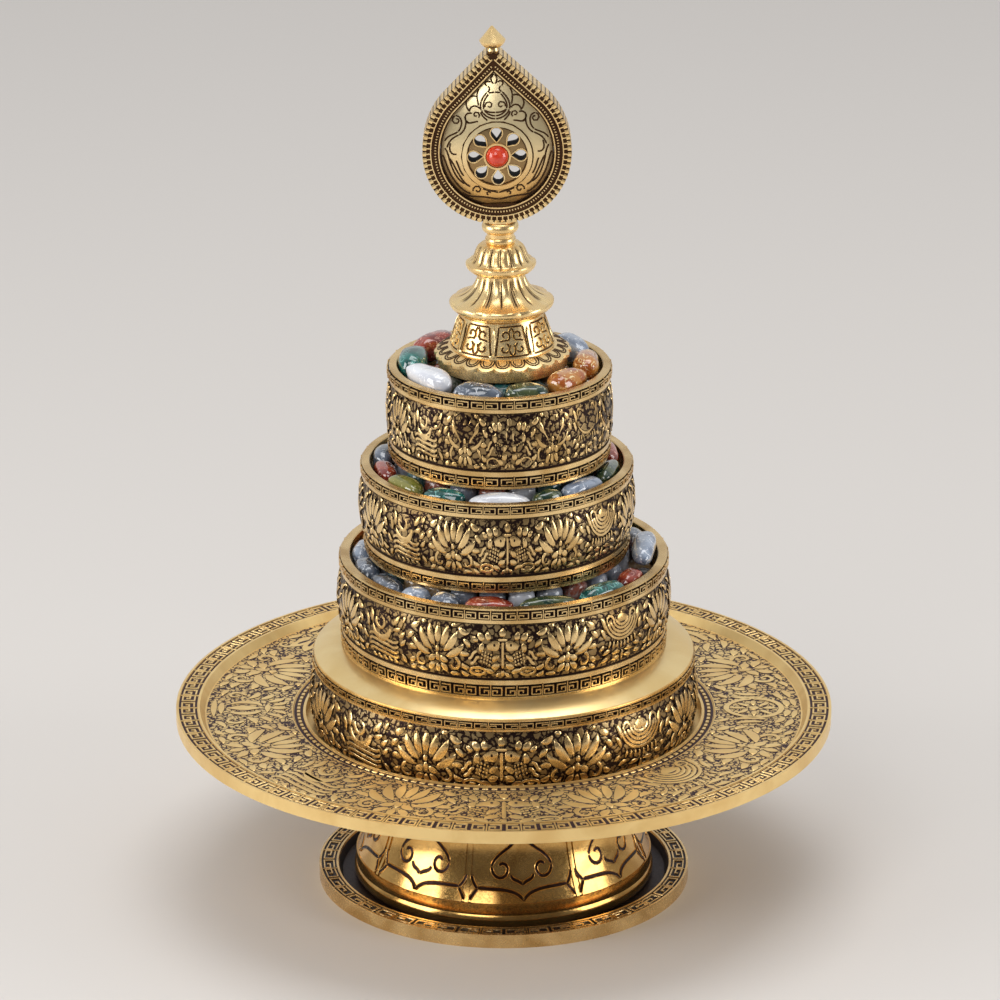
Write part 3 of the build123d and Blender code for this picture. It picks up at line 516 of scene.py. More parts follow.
def draw(bm: bmesh.types.BMesh, stroke: Stroke) -> None:
    """Adds one stroke to a flat motif, as a closed raised bar with a height of 1.

    Args:
        bm: the motif's mesh.
        stroke: what to add.
    """
    section = CROWNED
    if isinstance(stroke, Key):
        section = SQUARE
    elif stroke.cut:
        section = ENGRAVED
    rows = stations(stroke)
    runs, sides = len(rows) - 1, len(section)
    grid = bmesh.ops.create_grid(bm, x_segments=runs, y_segments=sides, size=1.0)["verts"]
    crest = bm.verts.layers.float["crest"]
    for vert in grid:
        spot, edge, width = rows[round((vert.co.x + 1) / 2 * runs)]
        across, height, shine = section[round((vert.co.y + 1) / 2 * sides) % sides]
        flat = spot + edge * across
        fullness = math.sqrt(min(1.0, width * 1.6))
        vert.co = (flat.x, flat.y, SINK + (height * stroke.rise - SINK) * fullness)
        vert[crest] = shine * stroke.tone * min(1.0, width * 3)
    bmesh.ops.remove_doubles(bm, verts=grid, dist=0.004)


def mesh_from(bm: bmesh.types.BMesh, name: str) -> bpy.types.Mesh:
    """Turns a bmesh, which is freed, into a mesh."""
    mesh = bpy.data.meshes.new(name)
    bm.to_mesh(mesh)
    bm.free()
    return mesh


def add_object(name: str, data: bpy.types.ID) -> bpy.types.Object:
    """Adds an object with its data to the scene."""
    made = bpy.data.objects.new(name, data)
    bpy.context.scene.collection.objects.link(made)
    return made


def motif(name: str, strokes: Sequence[Stroke], swell: float = 1.0) -> bpy.types.Mesh:
    """Builds a flat motif.

    Args:
        name: the mesh's name.
        strokes: what it is drawn with.
        swell: widens every stroke.

    Returns:
        The mesh, in millimetres, with heights from 0 to 1.
    """
    bm = bmesh.new()
    bm.verts.layers.float.new("crest")
    for stroke in strokes:
        draw(bm, replace(stroke, width=stroke.width * swell))
    ends = [edge for edge in bm.edges if edge.is_boundary]
    if ends:
        bmesh.ops.holes_fill(bm, edges=ends, sides=8)
    bmesh.ops.recalc_face_normals(bm, faces=bm.faces)
    return mesh_from(bm, name)


def both(strokes: Sequence[Bend | Curl]) -> list[Bend | Curl]:
    """Gives strokes and their mirror images."""
    return [*strokes, *(stroke.mirrored() for stroke in strokes)]


def leaf(start: Point, end: Point, width: float, bow: float = 0.0, tone: float = 1.0) -> Bend:
    """Gives a stroke between two points, bowed to its left by a distance."""
    first, last = Vector(start), Vector(end)
    run = last - first
    side = Vector((-run.y, run.x)).normalized() * bow * 2
    middle = (first + last) / 2 + side
    return Bend((start, tuple(middle), end), width, tone=tone)


def dot(x: float, y: float, width: float, tone: float = 1.0) -> Bend:
    """Gives a round bead."""
    return Bend(((x - width * 0.45, y), (x + width * 0.45, y)), width, Nib.ROUND, tone)


def incised(width: float, *points: Point) -> Bend:
    """Gives an engraved line along a curve."""
    return Bend(points, width, Nib.ROUND, cut=True)


def dark_line(width: float, *points: Point) -> Bend:
    """Gives a low dark line along a curve."""
    return Bend(points, width, Nib.ROUND, tone=0.0, rise=DARK_RISE)


class Relief:
    """Motifs laid on a surface and joined into one piece."""

    def __init__(self, name: str) -> None:
        """Starts an empty piece."""
        self.name = name
        self.bm = bmesh.new()
        self.bm.verts.layers.float.new("crest")

    def stamp(self, flat: bpy.types.Mesh, place: Place, height: float, scale: Point = (1.0, 1.0)) -> None:
        """Lays a motif on a surface.

        Args:
            flat: the motif.
            place: where a flat point lies on the surface.
            height: the motif's height above it.
            scale: stretches the motif sideways and upwards.
        """
        before = len(self.bm.verts)
        self.bm.from_mesh(flat)
        self.bm.verts.ensure_lookup_table()
        for vert in self.bm.verts[before:]:
            vert.co = place(vert.co.x * scale[0], vert.co.y * scale[1], vert.co.z * height)

    def finish(self, body: str, slot: str, material: bpy.types.Material, *nodes: str) -> None:
        """Turns the relief into a piece of the object."""
        finish(self.bm, self.name, body, slot, material, *nodes)


SHARP = math.radians(40)    # edges sharper than this stay sharp


def finish(
    bm: bmesh.types.BMesh, name: str, body: str, slot: str, material: bpy.types.Material, *nodes: str,
) -> None:
    """Turns a mesh in millimetres into a piece.

    Args:
        bm: the mesh, which is freed.
        name: the piece's name.
        body: the body that it rides on.
        slot: the record's material slot, which is not used.
        material: its finish.
        nodes: the CAD nodes that it replaces.
    """
    bmesh.ops.scale(bm, vec=(MM, MM, MM), verts=bm.verts)
    mesh = mesh_from(bm, name)
    mesh.shade_smooth()
    mesh.set_sharp_from_angle(angle=SHARP)
    mesh.materials.append(material)
    piece = add_object(name, mesh)
    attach(piece, body)
    if nodes:
        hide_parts(*nodes)
    mesh.calc_loop_triangles()
    log.info("%s: %d triangles on %s", name, len(mesh.loop_triangles), body)


def dress(node: str, material: bpy.types.Material) -> None:
    """Gives a CAD node its finish."""
    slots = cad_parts[node].material_slots
    if not slots:
        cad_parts[node].data.materials.append(material)
    for slot in slots:
        slot.material = material
    log.info("%s: CAD node dressed in %s", node, material.name)


def fish_pair() -> list[Stroke]:
    """Draws the two golden fish on either side of a staff."""
    side = [
        Bend(((-1.1, 2.5), (-4.4, 3.2), (-8.0, 1.2)), 4.4, Nib.DROP, rise=1.1),
        replace(dot(-3.4, 3.0, 1.1, 0.0), rise=1.3),
        leaf((-5.4, 4.4), (-6.6, 7.6), 2.2),
        leaf((-7.6, 4.3), (-10.4, 7.2), 2.3),
        leaf((-8.3, 3.7), (-9.2, 0.0), 2.0),
        leaf((-10.2, 3.8), (-12.6, 5.8), 1.6),
        leaf((-1.1, -0.9), (-4.4, -3.4), 2.0, -0.4),
        leaf((-1.0, -4.6), (-4.8, -6.0), 2.3, -0.3),
        leaf((-3.6, -7.9), (-7.6, -6.4), 1.9, -0.3),
        Curl((-10.4, -7.0), (3.2, 3.2), (-10, 350), 0.95, Nib.ROUND, squash=0.45),
        leaf((-12.0, -7.0), (-8.8, -7.0), 1.0),
        Bend(((-9.4, -1.4), (-12.2, -1.8), (-10.6, -4.2), (-13.6, -4.4)), 1.0, Nib.ROUND),
        Bend(((-10.4, 0.6), (-13.2, 0.2), (-12.0, -2.6), (-14.4, -2.4)), 1.0, Nib.ROUND),
        leaf((-0.8, -7.4), (-3.0, -9.2), 1.2),
    ]
    scales = [
        dot(-4.7 - column * 1.15 - row * 0.25, -0.6 - row * 1.25 + column * 0.42, 0.85)
        for row in range(4)
        for column in range(4)
    ]
    middle = [
        leaf((0, 5.5), (0, 8.9), 2.7),
        Bend(((-2.0, 4.8), (2.0, 4.8)), 0.8, Nib.ROUND),
        Bend(((0, 4.0), (0, -5.8)), 1.0, Nib.ROUND),
        leaf((0, -6.2), (0, -9.2), 1.4),
    ]
    return [*both([*side, *scales]), *middle]


def lotus_spray() -> list[Stroke]:
    """Draws the lotus with broad petals that fills the space between two symbols."""
    side = [
        leaf((-1.3, 0.8), (-4.2, 8.8), 2.7, 0.5),
        leaf((-2.4, -0.6), (-8.4, 7.2), 2.8, 0.9),
        leaf((-3.2, -2.4), (-11.4, 2.8), 2.6, 0.9),
        leaf((-8.8, 8.6), (-13.4, 6.6), 2.0, 0.6),
        leaf((-10.8, 4.4), (-14.0, 1.6), 1.8, -0.5),
        leaf((-5.4, 9.0), (-8.2, 9.3), 1.3),
        leaf((-0.9, -2.4), (-4.6, -4.4), 2.2, 0.3),
        Curl((-7.2, -5.2), (2.7, 0.5), (95, 470), 1.3),
        leaf((-9.6, -1.6), (-13.8, -1.2), 1.9, -0.7),
        leaf((-10.4, -4.4), (-13.9, -6.0), 1.9, 0.7),
        leaf((-10.2, -7.4), (-13.6, -9.0), 1.6, 0.4),
        leaf((-1.0, -5.4), (-4.0, -8.8), 2.2, -0.6),
        leaf((-5.0, -8.9), (-9.4, -8.9), 1.5, -0.3),
    ]
    middle = [
        leaf((0, 1.6), (0, 9.2), 2.7),
        dot(0, 0.2, 2.0),
        leaf((0, -1.0), (0, -4.6), 1.8),
        leaf((0, -5.2), (0, -9.2), 2.0),
    ]
    return [*both(side), *middle]


def ribbons(tops: Sequence[float], reach: float = 9.6) -> list[Stroke]:
    """Draws wavy ribbons across a motif, one at each height."""
    drawn = []
    for y in tops:
        left = ((-reach, y - 0.4), (-reach * 0.6, y + 3.0), (-reach * 0.2, y - 3.2))
        right = ((reach * 0.2, y + 3.2), (reach * 0.6, y - 3.0), (reach, y + 0.4))
        drawn.append(Bend((*left, *right), 0.95, Nib.ROUND))
    return drawn


def conch() -> list[Stroke]:
    """Draws the conch shell over flowing ribbons."""
    shell = [
        Curl((-1.0, 4.2), (5.6, 5.2), (185, 372), 2.5, Nib.LEAF),
        Curl((-1.2, 4.9), (3.4, 0.4), (160, 560), 1.5),
        leaf((4.6, 5.0), (8.4, 8.6), 2.0, -0.6),
        leaf((5.2, 3.2), (9.8, 4.6), 1.5, -0.5),
        leaf((-7.2, 3.0), (-8.8, 8.2), 1.9, -0.8),
        leaf((-9.0, 1.0), (-11.4, 6.2), 1.5, -0.7),
        leaf((10.0, 6.0), (11.6, 9.0), 1.4),
        leaf((8.4, 1.0), (11.8, 3.4), 1.6, -0.4),
        leaf((9.2, -1.8), (12.2, 0.6), 1.6, -0.4),
        leaf((-9.6, -3.0), (-12.4, -0.2), 1.6, 0.4),
        leaf((9.8, -5.0), (12.2, -8.4), 1.7, 0.5),
        leaf((-10.0, -6.0), (-12.4, -8.8), 1.7, -0.4),
    ]
    foot = [
        leaf((x, -8.0 - abs(x) * 0.05), (x + 2.6, -9.0), 1.3, 0.2)
        for x in (-7.6, -4.4, -1.2, 2.0, 5.2)
    ]
    return [*shell, *ribbons((-1.0, -2.9, -4.8, -6.6), 8.6), *foot]


def parasol() -> list[Stroke]:
    """Draws the parasol with its hanging valances."""
    crown = [leaf((0, 7.4), (0, 9.3), 1.5), Bend(((-3.6, 5.2), (0, 8.4), (3.6, 5.2)), 2.8, Nib.LEAF)]
    valances = [
        Curl((0, 7.4), (radius, radius), (194, 346), 0.9, Nib.ROUND, squash=0.86)
        for radius in (3.6, 5.1, 6.6, 8.1, 9.6)
    ]
    fringe = [
        leaf((x, -1.8 + abs(x) * 0.16), (x * 1.12, -4.8 + abs(x) * 0.18), 0.95)
        for x in range(-7, 8, 2)
    ]
    side = [
        Curl((-7.0, 6.6), (2.4, 0.5), (-20, 330), 1.1),
        leaf((-9.6, 3.4), (-11.6, 8.6), 1.7, -0.7),
        leaf((-9.8, 0.4), (-12.2, 4.6), 1.5, -0.5),
        leaf((-1.0, -5.6), (-6.4, -6.2), 1.4, -0.5),
        leaf((-6.6, -4.4), (-10.8, -5.6), 1.5, -0.5),
        leaf((-0.9, -7.6), (-6.0, -8.6), 1.4, -0.3),
        leaf((-7.0, -7.4), (-11.6, -8.6), 1.5, -0.4),
        leaf((-9.8, -2.2), (-12.6, -3.6), 1.5, -0.3),
    ]
    return [*crown, *valances, *fringe, *both(side), leaf((0, -5.2), (0, -9.2), 1.2)]


def wheel() -> list[Stroke]:
    """Draws the eight-spoked wheel on a lotus foot."""
    spokes = []
    for index in range(8):
        run = Vector((math.cos(math.pi * index / 4), math.sin(math.pi * index / 4)))
        hub = Vector((0, 1.0))
        spokes.append(leaf(tuple(hub + run * 1.9), tuple(hub + run * 5.6), 1.3))
    side = [
        leaf((-8.0, -2.6), (-9.4, 6.2), 1.8, -1.2),
        leaf((-9.8, -1.6), (-12.0, 5.0), 1.6, -0.8),
        leaf((-8.4, 6.8), (-11.4, 9.0), 1.5),
        leaf((-0.8, -7.0), (-5.4, -6.4), 1.7, 0.3),
        leaf((-5.6, -6.2), (-10.0, -4.2), 1.6, 0.5),
        leaf((-1.2, -9.0), (-6.2, -8.4), 1.4),
        leaf((-6.8, -8.2), (-11.8, -6.8), 1.6, 0.4),
    ]
    rim = [Curl((0, 1.0), (6.7, 6.7), (0, 360), 1.3, Nib.ROUND), dot(0, 1.0, 2.4)]
    return [*rim, *spokes, *both(side)]


def endless_knot() -> list[Stroke]:
    """Draws the endless knot with its ribbons."""
    up, across = Vector((1, 1)).normalized(), Vector((-1, 1)).normalized()
    bars = []
    for offset in (-3.0, 0.0, 3.0):
        for run, shift in ((up, across), (across, up)):
            first, last = shift * offset - run * 4.6, shift * offset + run * 4.6
            bars.append(Bend((tuple(first), tuple(last)), 1.05, Nib.ROUND))
    side = [
        Curl((-6.0, 2.1), (1.5, 1.5), (45, 315), 0.95, Nib.ROUND),
        Curl((-6.0, -2.1), (1.5, 1.5), (45, 315), 0.95, Nib.ROUND),
        leaf((-7.6, 4.6), (-10.4, 8.8), 1.8, -0.6),
        leaf((-8.6, 0.0), (-12.2, 3.6), 1.7, -0.6),
        leaf((-8.6, -2.4), (-12.4, -4.6), 1.7, 0.6),
        leaf((-4.4, -6.8), (-9.8, -8.6), 1.7, 0.6),
        leaf((-3.6, 7.2), (-6.4, 9.0), 1.4),
    ]
    return [*bars, *both(side), leaf((0, 7.0), (0, 9.2), 1.4), leaf((0, -7.0), (0, -9.2), 1.4)]


def banner() -> list[Stroke]:
    """Draws the victory banner, a staff with tiers of cloth."""
    tiers = []
    for row in range(5):
        wide, ends = 3.2 + row * 0.35, 4.4 - row * 2.5
        tiers.append(Bend(((-wide, ends), (0, 2.9 - row * 2.5), (wide, ends)), 1.7, Nib.ROUND))
    side = [
        leaf((-1.0, 6.4), (-4.4, 5.8), 1.4, 0.3),
        leaf((-5.2, 4.8), (-6.8, 8.8), 1.7, -0.7),
        leaf((-5.8, 1.4), (-8.6, 6.2), 1.7, -0.7),
        leaf((-6.0, -2.0), (-9.8, 2.8), 1.7, -0.7),
        leaf((-6.2, -5.2), (-10.8, -1.0), 1.7, -0.7),
        Curl((-9.4, 6.8), (2.2, 0.4), (-40, 320), 1.1),
        leaf((-1.2, -8.4), (-5.8, -7.4), 1.5, 0.4),
        leaf((-6.6, -8.4), (-11.4, -5.6), 1.6, 0.5),
    ]
    return [*tiers, *both(side), leaf((0, 6.2), (0, 9.2), 1.9)]


def vase() -> list[Stroke]:
    """Draws the treasure vase with a jewel in its mouth."""
    belly = Bend(((-2.4, -5.0), (-4.8, -2.4), (-4.6, 1.8), (-1.6, 3.0)), 1.9)
    body = [
        *both([belly]),
        leaf((0, -5.2), (0, 2.6), 3.0),
        leaf((-3.0, 4.4), (3.0, 4.4), 1.4),
        leaf((0, 5.2), (0, 9.2), 2.6),
        leaf((-3.8, -6.8), (3.8, -6.8), 1.5),
        leaf((-5.6, -8.6), (5.6, -8.6), 1.4),
    ]
    side = [
        leaf((-2.2, 5.6), (-4.8, 8.8), 1.7, -0.4),
        leaf((-4.4, 4.2), (-8.4, 7.8), 1.7, -0.6),
        leaf((-6.4, 2.2), (-10.8, 4.8), 1.7, -0.6),
        leaf((-6.8, -0.6), (-11.4, 1.2), 1.7, -0.6),
        Curl((-8.4, -4.0), (2.4, 0.4), (100, 460), 1.1),
        leaf((-8.4, -7.4), (-12.2, -6.2), 1.5, 0.3),
    ]
    return [*body, *both(side)]


def great_lotus() -> list[Stroke]:
    """Draws the lotus that is itself one of the eight symbols."""
    petals = []
    for angle in (0, 24, 48, 72, 98):
        run = Vector((-math.sin(math.radians(angle)), math.cos(math.radians(angle))))
        foot = Vector((0, -3.4))
        petals.append(leaf(tuple(foot + run * 2.4), tuple(foot + run * (12.0 - angle * 0.02)), 3.0))
        vein = leaf(tuple(foot + run * 2.6), tuple(foot + run * 8.0), 0.9, tone=0.0)
        petals.append(replace(vein, rise=1.12))
    middle, outer = petals[:2], petals[2:]
    side = [
        leaf((-0.9, -5.2), (-5.6, -6.0), 1.9, -0.3),
        Curl((-9.0, -6.8), (2.2, 0.4), (60, 420), 1.1),
        leaf((-1.0, -8.0), (-5.8, -8.8), 1.6, -0.2),
    ]
    return [*both([*outer, *side]), *middle]


SYMBOLS = (fish_pair, parasol, wheel, banner, endless_knot, great_lotus, vase, conch)
MOTIF_WIDTH = 27.5          # of a symbol or a spray as it is drawn
MOTIF_HEIGHT = 18.8
BELT_MARGIN = 0.4           # plain metal above and below the motifs of a belt
BELT_SWELL = 1.22           # how much wider the strokes stand on a belt than they are drawn


def key_pair(cell: float, height: float, line: float) -> list[Stroke]:
    """Draws two mirrored square keys of a meander and the bar beside them."""
    low, high = -height / 2 + line * 1.45, height / 2 - line * 1.45
    near, far = line * 1.3, cell - line * 1.2
    inner = (near + far) / 2
    path = (
        (far, high), (near, high), (near, low), (far, low),
        (far, high * 0.2), (inner, high * 0.2), (inner, low * 0.42),
    )
    other = tuple((-x, y) for x, y in reversed(path))
    bar = Key(((cell, -height / 2), (cell, height / 2)), line * 0.8)
    return [Key(path, line), Key(other, line), bar]


class Wall:
    """The outer face of a turned CAD node, as the frame gives it."""

    FACING = 0.7            # how squarely a face looks outwards where its radius counts
    PLAIN = 0.2             # height of a belt's plain edges
    KEEP_UP = 0.3           # a motif's width is fitted this far above its middle

    def __init__(self, node: str, centre_x: float = 0.0, belt: Point = (0.0, 0.0)) -> None:
        """Reads the radius at each level of the node's faces that look outwards.

        Args:
            node: the node's name.
            centre_x: where its axis stands.
            belt: heights between which the wall is embossed and its ground is wanted.
        """
        self.centre_x = centre_x
        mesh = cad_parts[node].data
        read: dict[float, float] = {}
        for face in mesh.polygons:
            out = Vector((face.center.x / MM - centre_x, face.center.y / MM)).normalized()
            if face.normal.to_2d().dot(out) < self.FACING:
                continue
            for index in face.vertices:
                spot = mesh.vertices[index].co / MM
                level = round(spot.z, 1)
                reach = math.hypot(spot.x - centre_x, spot.y)
                pick = min if belt[0] + self.PLAIN < level < belt[1] - self.PLAIN else max
                read[level] = pick(read.get(level, reach), reach)
        self.levels = sorted(read.items())

    def radius(self, z: float) -> float:
        """Gives the wall's radius at a height."""
        below = max((row for row in self.levels if row[0] <= z), default=self.levels[0])
        above = min((row for row in self.levels if row[0] > z), default=self.levels[-1])
        if above[0] == below[0]:
            return below[1]
        return below[1] + (above[1] - below[1]) * (z - below[0]) / (above[0] - below[0])

    def around(self, azimuth: float, middle: float, low: float, high: float) -> Place:
        """Gives the place on the wall of a motif's points.

        Args:
            azimuth: of the motif's middle, in degrees.
            middle: height of the motif's middle.
            low: the belt's lowest height, where its radius is read at the least.
            high: the belt's highest height, likewise.

        Returns:
            The function that lays a flat point on the wall.
        """
        arc_radius = self.radius(min(middle + self.KEEP_UP, high))

        def place(x: float, y: float, h: float) -> Vector:
            z = middle + y
            radius = self.radius(min(max(z, low), high)) + h
            return polar(radius, math.radians(azimuth) + x / arc_radius, z, self.centre_x)

        return place


def on_disc(azimuth: float, middle: float, level: float) -> Place:
    """Gives the place of a motif's points on a level disc, with its top towards the centre."""

    def place(x: float, y: float, h: float) -> Vector:
        return polar(middle - y, math.radians(azimuth) + x / middle, level + h)

    return place


@dataclass(frozen=True)
class Meander:
    """A band of square keys round a wall or a level disc."""

    height: float           # of the band, or its width on a disc
    keys: int               # how many go round, an even number
    line: float             # width of a key's line
    rise: float             # how far the keys stand out

    def lay(self, relief: Relief, girth: float, place_at: Callable[[float], Place]) -> None:
        """Lays the keys.

        Args:
            relief: the piece that they are added to.
            girth: length of the band's middle line.
            place_at: gives the place of a motif at an azimuth in degrees.
        """
        flat = motif("key_pair", key_pair(girth / self.keys, self.height, self.line))
        for pair in range(self.keys // 2):
            relief.stamp(flat, place_at(pair * 720 / self.keys), self.rise)

    def on_wall(self, relief: Relief, wall: Wall, middle: float) -> None:
        """Lays the keys round a wall, with their middle at a height."""
        low, high = middle - self.height / 2, middle + self.height / 2
        girth = math.tau * wall.radius(middle)
        self.lay(relief, girth, lambda azimuth: wall.around(azimuth, middle, low, high))

    def on_disc(self, relief: Relief, middle: float, level: float) -> None:
        """Lays the keys round a disc, with their middle at a radius."""
        self.lay(relief, math.tau * middle, lambda azimuth: on_disc(azimuth, middle, level))


@dataclass(frozen=True)
class SymbolBand:
    """The eight symbols round a wall or a level disc, with a spray between each two."""

    height: float           # of the motifs
    rise: float             # how far they stand out
    turn: float = 0.0       # azimuth of the pair of fish, in degrees

    def lay(self, relief: Relief, girth: float, place_at: Callable[[float], Place]) -> None:
        """Lays the motifs.

        Args:
            relief: the piece that they are added to.
            girth: length of the band's middle line.
            place_at: gives the place of a motif at an azimuth in degrees.
        """
        count = 2 * len(SYMBOLS)
        scale = (girth / count / MOTIF_WIDTH, self.height / MOTIF_HEIGHT)
        spray = motif("spray", lotus_spray(), BELT_SWELL)
        for index in range(count):
            flat = spray
            if index % 2 == 0:
                symbol = SYMBOLS[index // 2]
                flat = motif(symbol.__name__, symbol(), BELT_SWELL)
            relief.stamp(flat, place_at(self.turn + index * 360 / count), self.rise, scale)

    def on_wall(self, relief: Relief, wall: Wall, low: float, high: float) -> None:
        """Lays the motifs round a wall's belt between two heights."""
        middle = (low + high) / 2
        girth = math.tau * wall.radius(middle)
        self.lay(relief, girth, lambda azimuth: wall.around(azimuth, middle, low, high))


@dataclass
class StackingRing:
    """One embossed ring: its CAD wall, the symbols on its belt and its two meanders."""

    name: str
    lower_band: float
    upper_band: float
    keys: int
    turn: float             # azimuth of the pair of fish
    lip: float = 0.8
    rim_lip: float = 0.5
    bead: float = 1.6
    groove: float = 0.9
    top_bead: float = 1.2
    top_groove: float = 0.5
    rise: float = 0.52
    key_rise: float = 0.45
    key_lines: float = 7.0  # widths of a key's line across its band
    skin: float = 0.8       # how far into the wall its dark grounds reach

    def build(self) -> None:
        """Dresses the CAD ring and lays its patterns on it."""
        node = f"ring_{self.name}"
        low, high = box_mm(node)
        centre_x = (low.x + high.x) / 2
        band_low = low.z + self.lip
        band_top = high.z - self.rim_lip
        belt_low = band_low + self.lower_band + self.bead + self.groove
        belt_high = band_top - self.upper_band - self.top_bead - self.top_groove
        lower_middle = band_low + self.lower_band / 2
        wall = Wall(node, centre_x, (belt_low, belt_high))
        inside = wall.radius(lower_middle) - self.skin
        bands = (
            (band_low, band_low + self.lower_band, inside),
            (belt_low - self.groove, belt_low, inside),
            (belt_high, belt_high + self.top_groove, inside),
            (band_top - self.upper_band, band_top, inside),
        )
        grounds = ((belt_low, belt_high, inside),)
        brass = Brass(f"{self.name}_ring_brass", grounds=grounds, bands=bands, centre_x=centre_x)
        dress(node, brass.material())
        chased = Brass(f"{self.name}_chased_brass", crested=True).material()
        symbols = Relief(f"{node}_symbols")
        band = SymbolBand(belt_high - belt_low - 2 * BELT_MARGIN, self.rise, self.turn)
        band.on_wall(symbols, wall, belt_low, belt_high)
        symbols.finish(node, "chased_brass", chased)
        keys = Relief(f"{node}_meanders")
        line = self.upper_band / self.key_lines
        lower = Meander(self.lower_band, self.keys, line * 1.1, self.key_rise)
        lower.on_wall(keys, wall, lower_middle)
        upper = Meander(self.upper_band, self.keys, line, self.key_rise)
        upper.on_wall(keys, wall, band_top - self.upper_band / 2)
        keys.finish(node, "chased_brass", chased)


RINGS = (
    StackingRing("large", 4.2, 3.3, 80, -0.4),
    StackingRing("medium", 3.0, 2.9, 64, 4.4),
    StackingRing("small", 3.5, 3.1, 48, 5.0),
)


@dataclass
class BaseDrum:
    """The base drum: its CAD wall with belt and meander, and its polished lid."""

    belly_height: float = 20.9
    bead: float = 1.2
    rim_lip: float = 0.5
    keys: int = 80
    key_lines: float = 7.0      # widths of a key's line across its band
    key_rise: float = 0.45
    turn: float = -0.7          # azimuth of the pair of fish
    rise: float = 0.52
    foot_level: float = 1.0     # above the foot, where the wall's smallest radius is read
    skin: float = 0.9           # how far into the wall its dark grounds reach
    belt_foot: float = 0.4      # plain edges of the belt
    belt_head: float = 0.3

    def build(self) -> None:
        """Dresses the CAD drum and lays its patterns on it."""
        low, high = box_mm("drum_side")
        belly_top = low.z + self.belly_height
        wall = Wall("drum_side", belt=(low.z, belly_top))
        band_top = high.z - self.rim_lip
        band_low = belly_top + self.bead
        inside = wall.radius(low.z + self.foot_level) - self.skin
        grounds = ((low.z - self.foot_level, belly_top, inside),)
        side = Brass("drum_side_brass", grounds=grounds, bands=((band_low, band_top, inside),))
        dress("drum_side", side.material())
        lid = Brass("lid_brass", (0.95, 0.73, 0.36), (0.88, 0.64, 0.28), roughness=0.28, metallic=0.85)
        dress("drum_lid", lid.material())
        chased = Brass("drum_chased_brass", crested=True).material()
        symbols = Relief("drum_symbols")
        belt_low, belt_high = low.z + self.belt_foot, belly_top - self.belt_head
        band = SymbolBand(belt_high - belt_low - 2 * BELT_MARGIN, self.rise, self.turn)
        band.on_wall(symbols, wall, belt_low, belt_high)
        symbols.finish("base", "chased_brass", chased)
        keys = Relief("drum_meander")
        height = band_top - band_low
        meander = Meander(height, self.keys, height / self.key_lines, self.key_rise)
        meander.on_wall(keys, wall, (band_top + band_low) / 2)
        keys.finish("base", "chased_brass", chased)


@dataclass(frozen=True)
class PackedStones:
    """The finish of the heaps: a colour for each stone from the tint that it carries."""

    name: str = "packed_stones"
    stops: tuple = (
        (0.0, (0.20, 0.22, 0.27)), (0.16, (0.30, 0.08, 0.045)), (0.30, (0.42, 0.44, 0.50)),
        (0.44, (0.05, 0.075, 0.04)), (0.56, (0.02, 0.11, 0.11)), (0.68, (0.44, 0.28, 0.13)),
        (0.82, (0.60, 0.62, 0.68)), (0.92, (0.14, 0.13, 0.12)),
    )

    def material(self) -> bpy.types.Material:
        """Builds the finish."""
        shader = Shader(self.name)
        where = shader.place()
        tint = shader.node("ShaderNodeAttribute", {"attribute_name": "crest"}, out=2)
        colour = shader.node("ShaderNodeValToRGB", {"stops": self.stops}, {0: tint})
        colour.socket.node.color_ramp.interpolation = "CONSTANT"
        cloud = shader.mottle(where, 0.25, 5.0, 2.0)
        colour = shader.blend(cloud.rise(0.45, 0.7) * 0.5, colour, (0.55, 0.53, 0.50))
        return shader.close({
            "Base Color": colour,
            "Roughness": 0.14 + 0.12 * cloud,
            "IOR": 1.54,
            "Coat Weight": 0.5,
            "Coat Roughness": 0.05,
        })


@dataclass(frozen=True)
class Coral:
    """The finish of the polished red cabochon."""

    name: str = "coral"
    colour: Colour = (0.62, 0.035, 0.012)

    def material(self) -> bpy.types.Material:
        """Builds the finish."""
        shader = Shader(self.name)
        cloud = shader.mottle(shader.place(), 0.5, 3.0)
        colour = shader.blend(cloud.rise(0.4, 0.7) * 0.5, self.colour, (0.80, 0.10, 0.04))
        return shader.close({"Base Color": colour, "Roughness": 0.16, "Coat Weight": 0.5, "IOR": 1.5})


def pebble(detail: int, fullness: float = 2.5) -> bpy.types.Mesh:
    """Builds a rounded stone that fills a box from -1 to 1.

    Args:
        detail: subdivisions of the icosphere that it starts as.
        fullness: 2 for a ball, more for a shape that fills its box better.

    Returns:
        The mesh.
    """
    bm = bmesh.new()
    bmesh.ops.create_icosphere(bm, subdivisions=detail, radius=1.0)
    for vert in bm.verts:
        size = sum(abs(part) ** fullness for part in vert.co) ** (1 / fullness)
        vert.co /= size
    return mesh_from(bm, "pebble")


@dataclass
class LyingStone:
    """Where one tumbled stone of the frame lies, with its half sizes along, outwards and up."""

    node: str
    middle: Vector
    azimuth: float          # in radians
    halves: Vector

    def point(self, along: float, outward: float, up: float) -> Vector:
        """Gives the point of the stone at shares of its half sizes."""
        run, out = bearings(self.azimuth)
        reach = Vector((along * self.halves.x, outward * self.halves.y, up * self.halves.z))
        return self.middle + run * reach.x + out * reach.y + Vector((0, 0, reach.z))


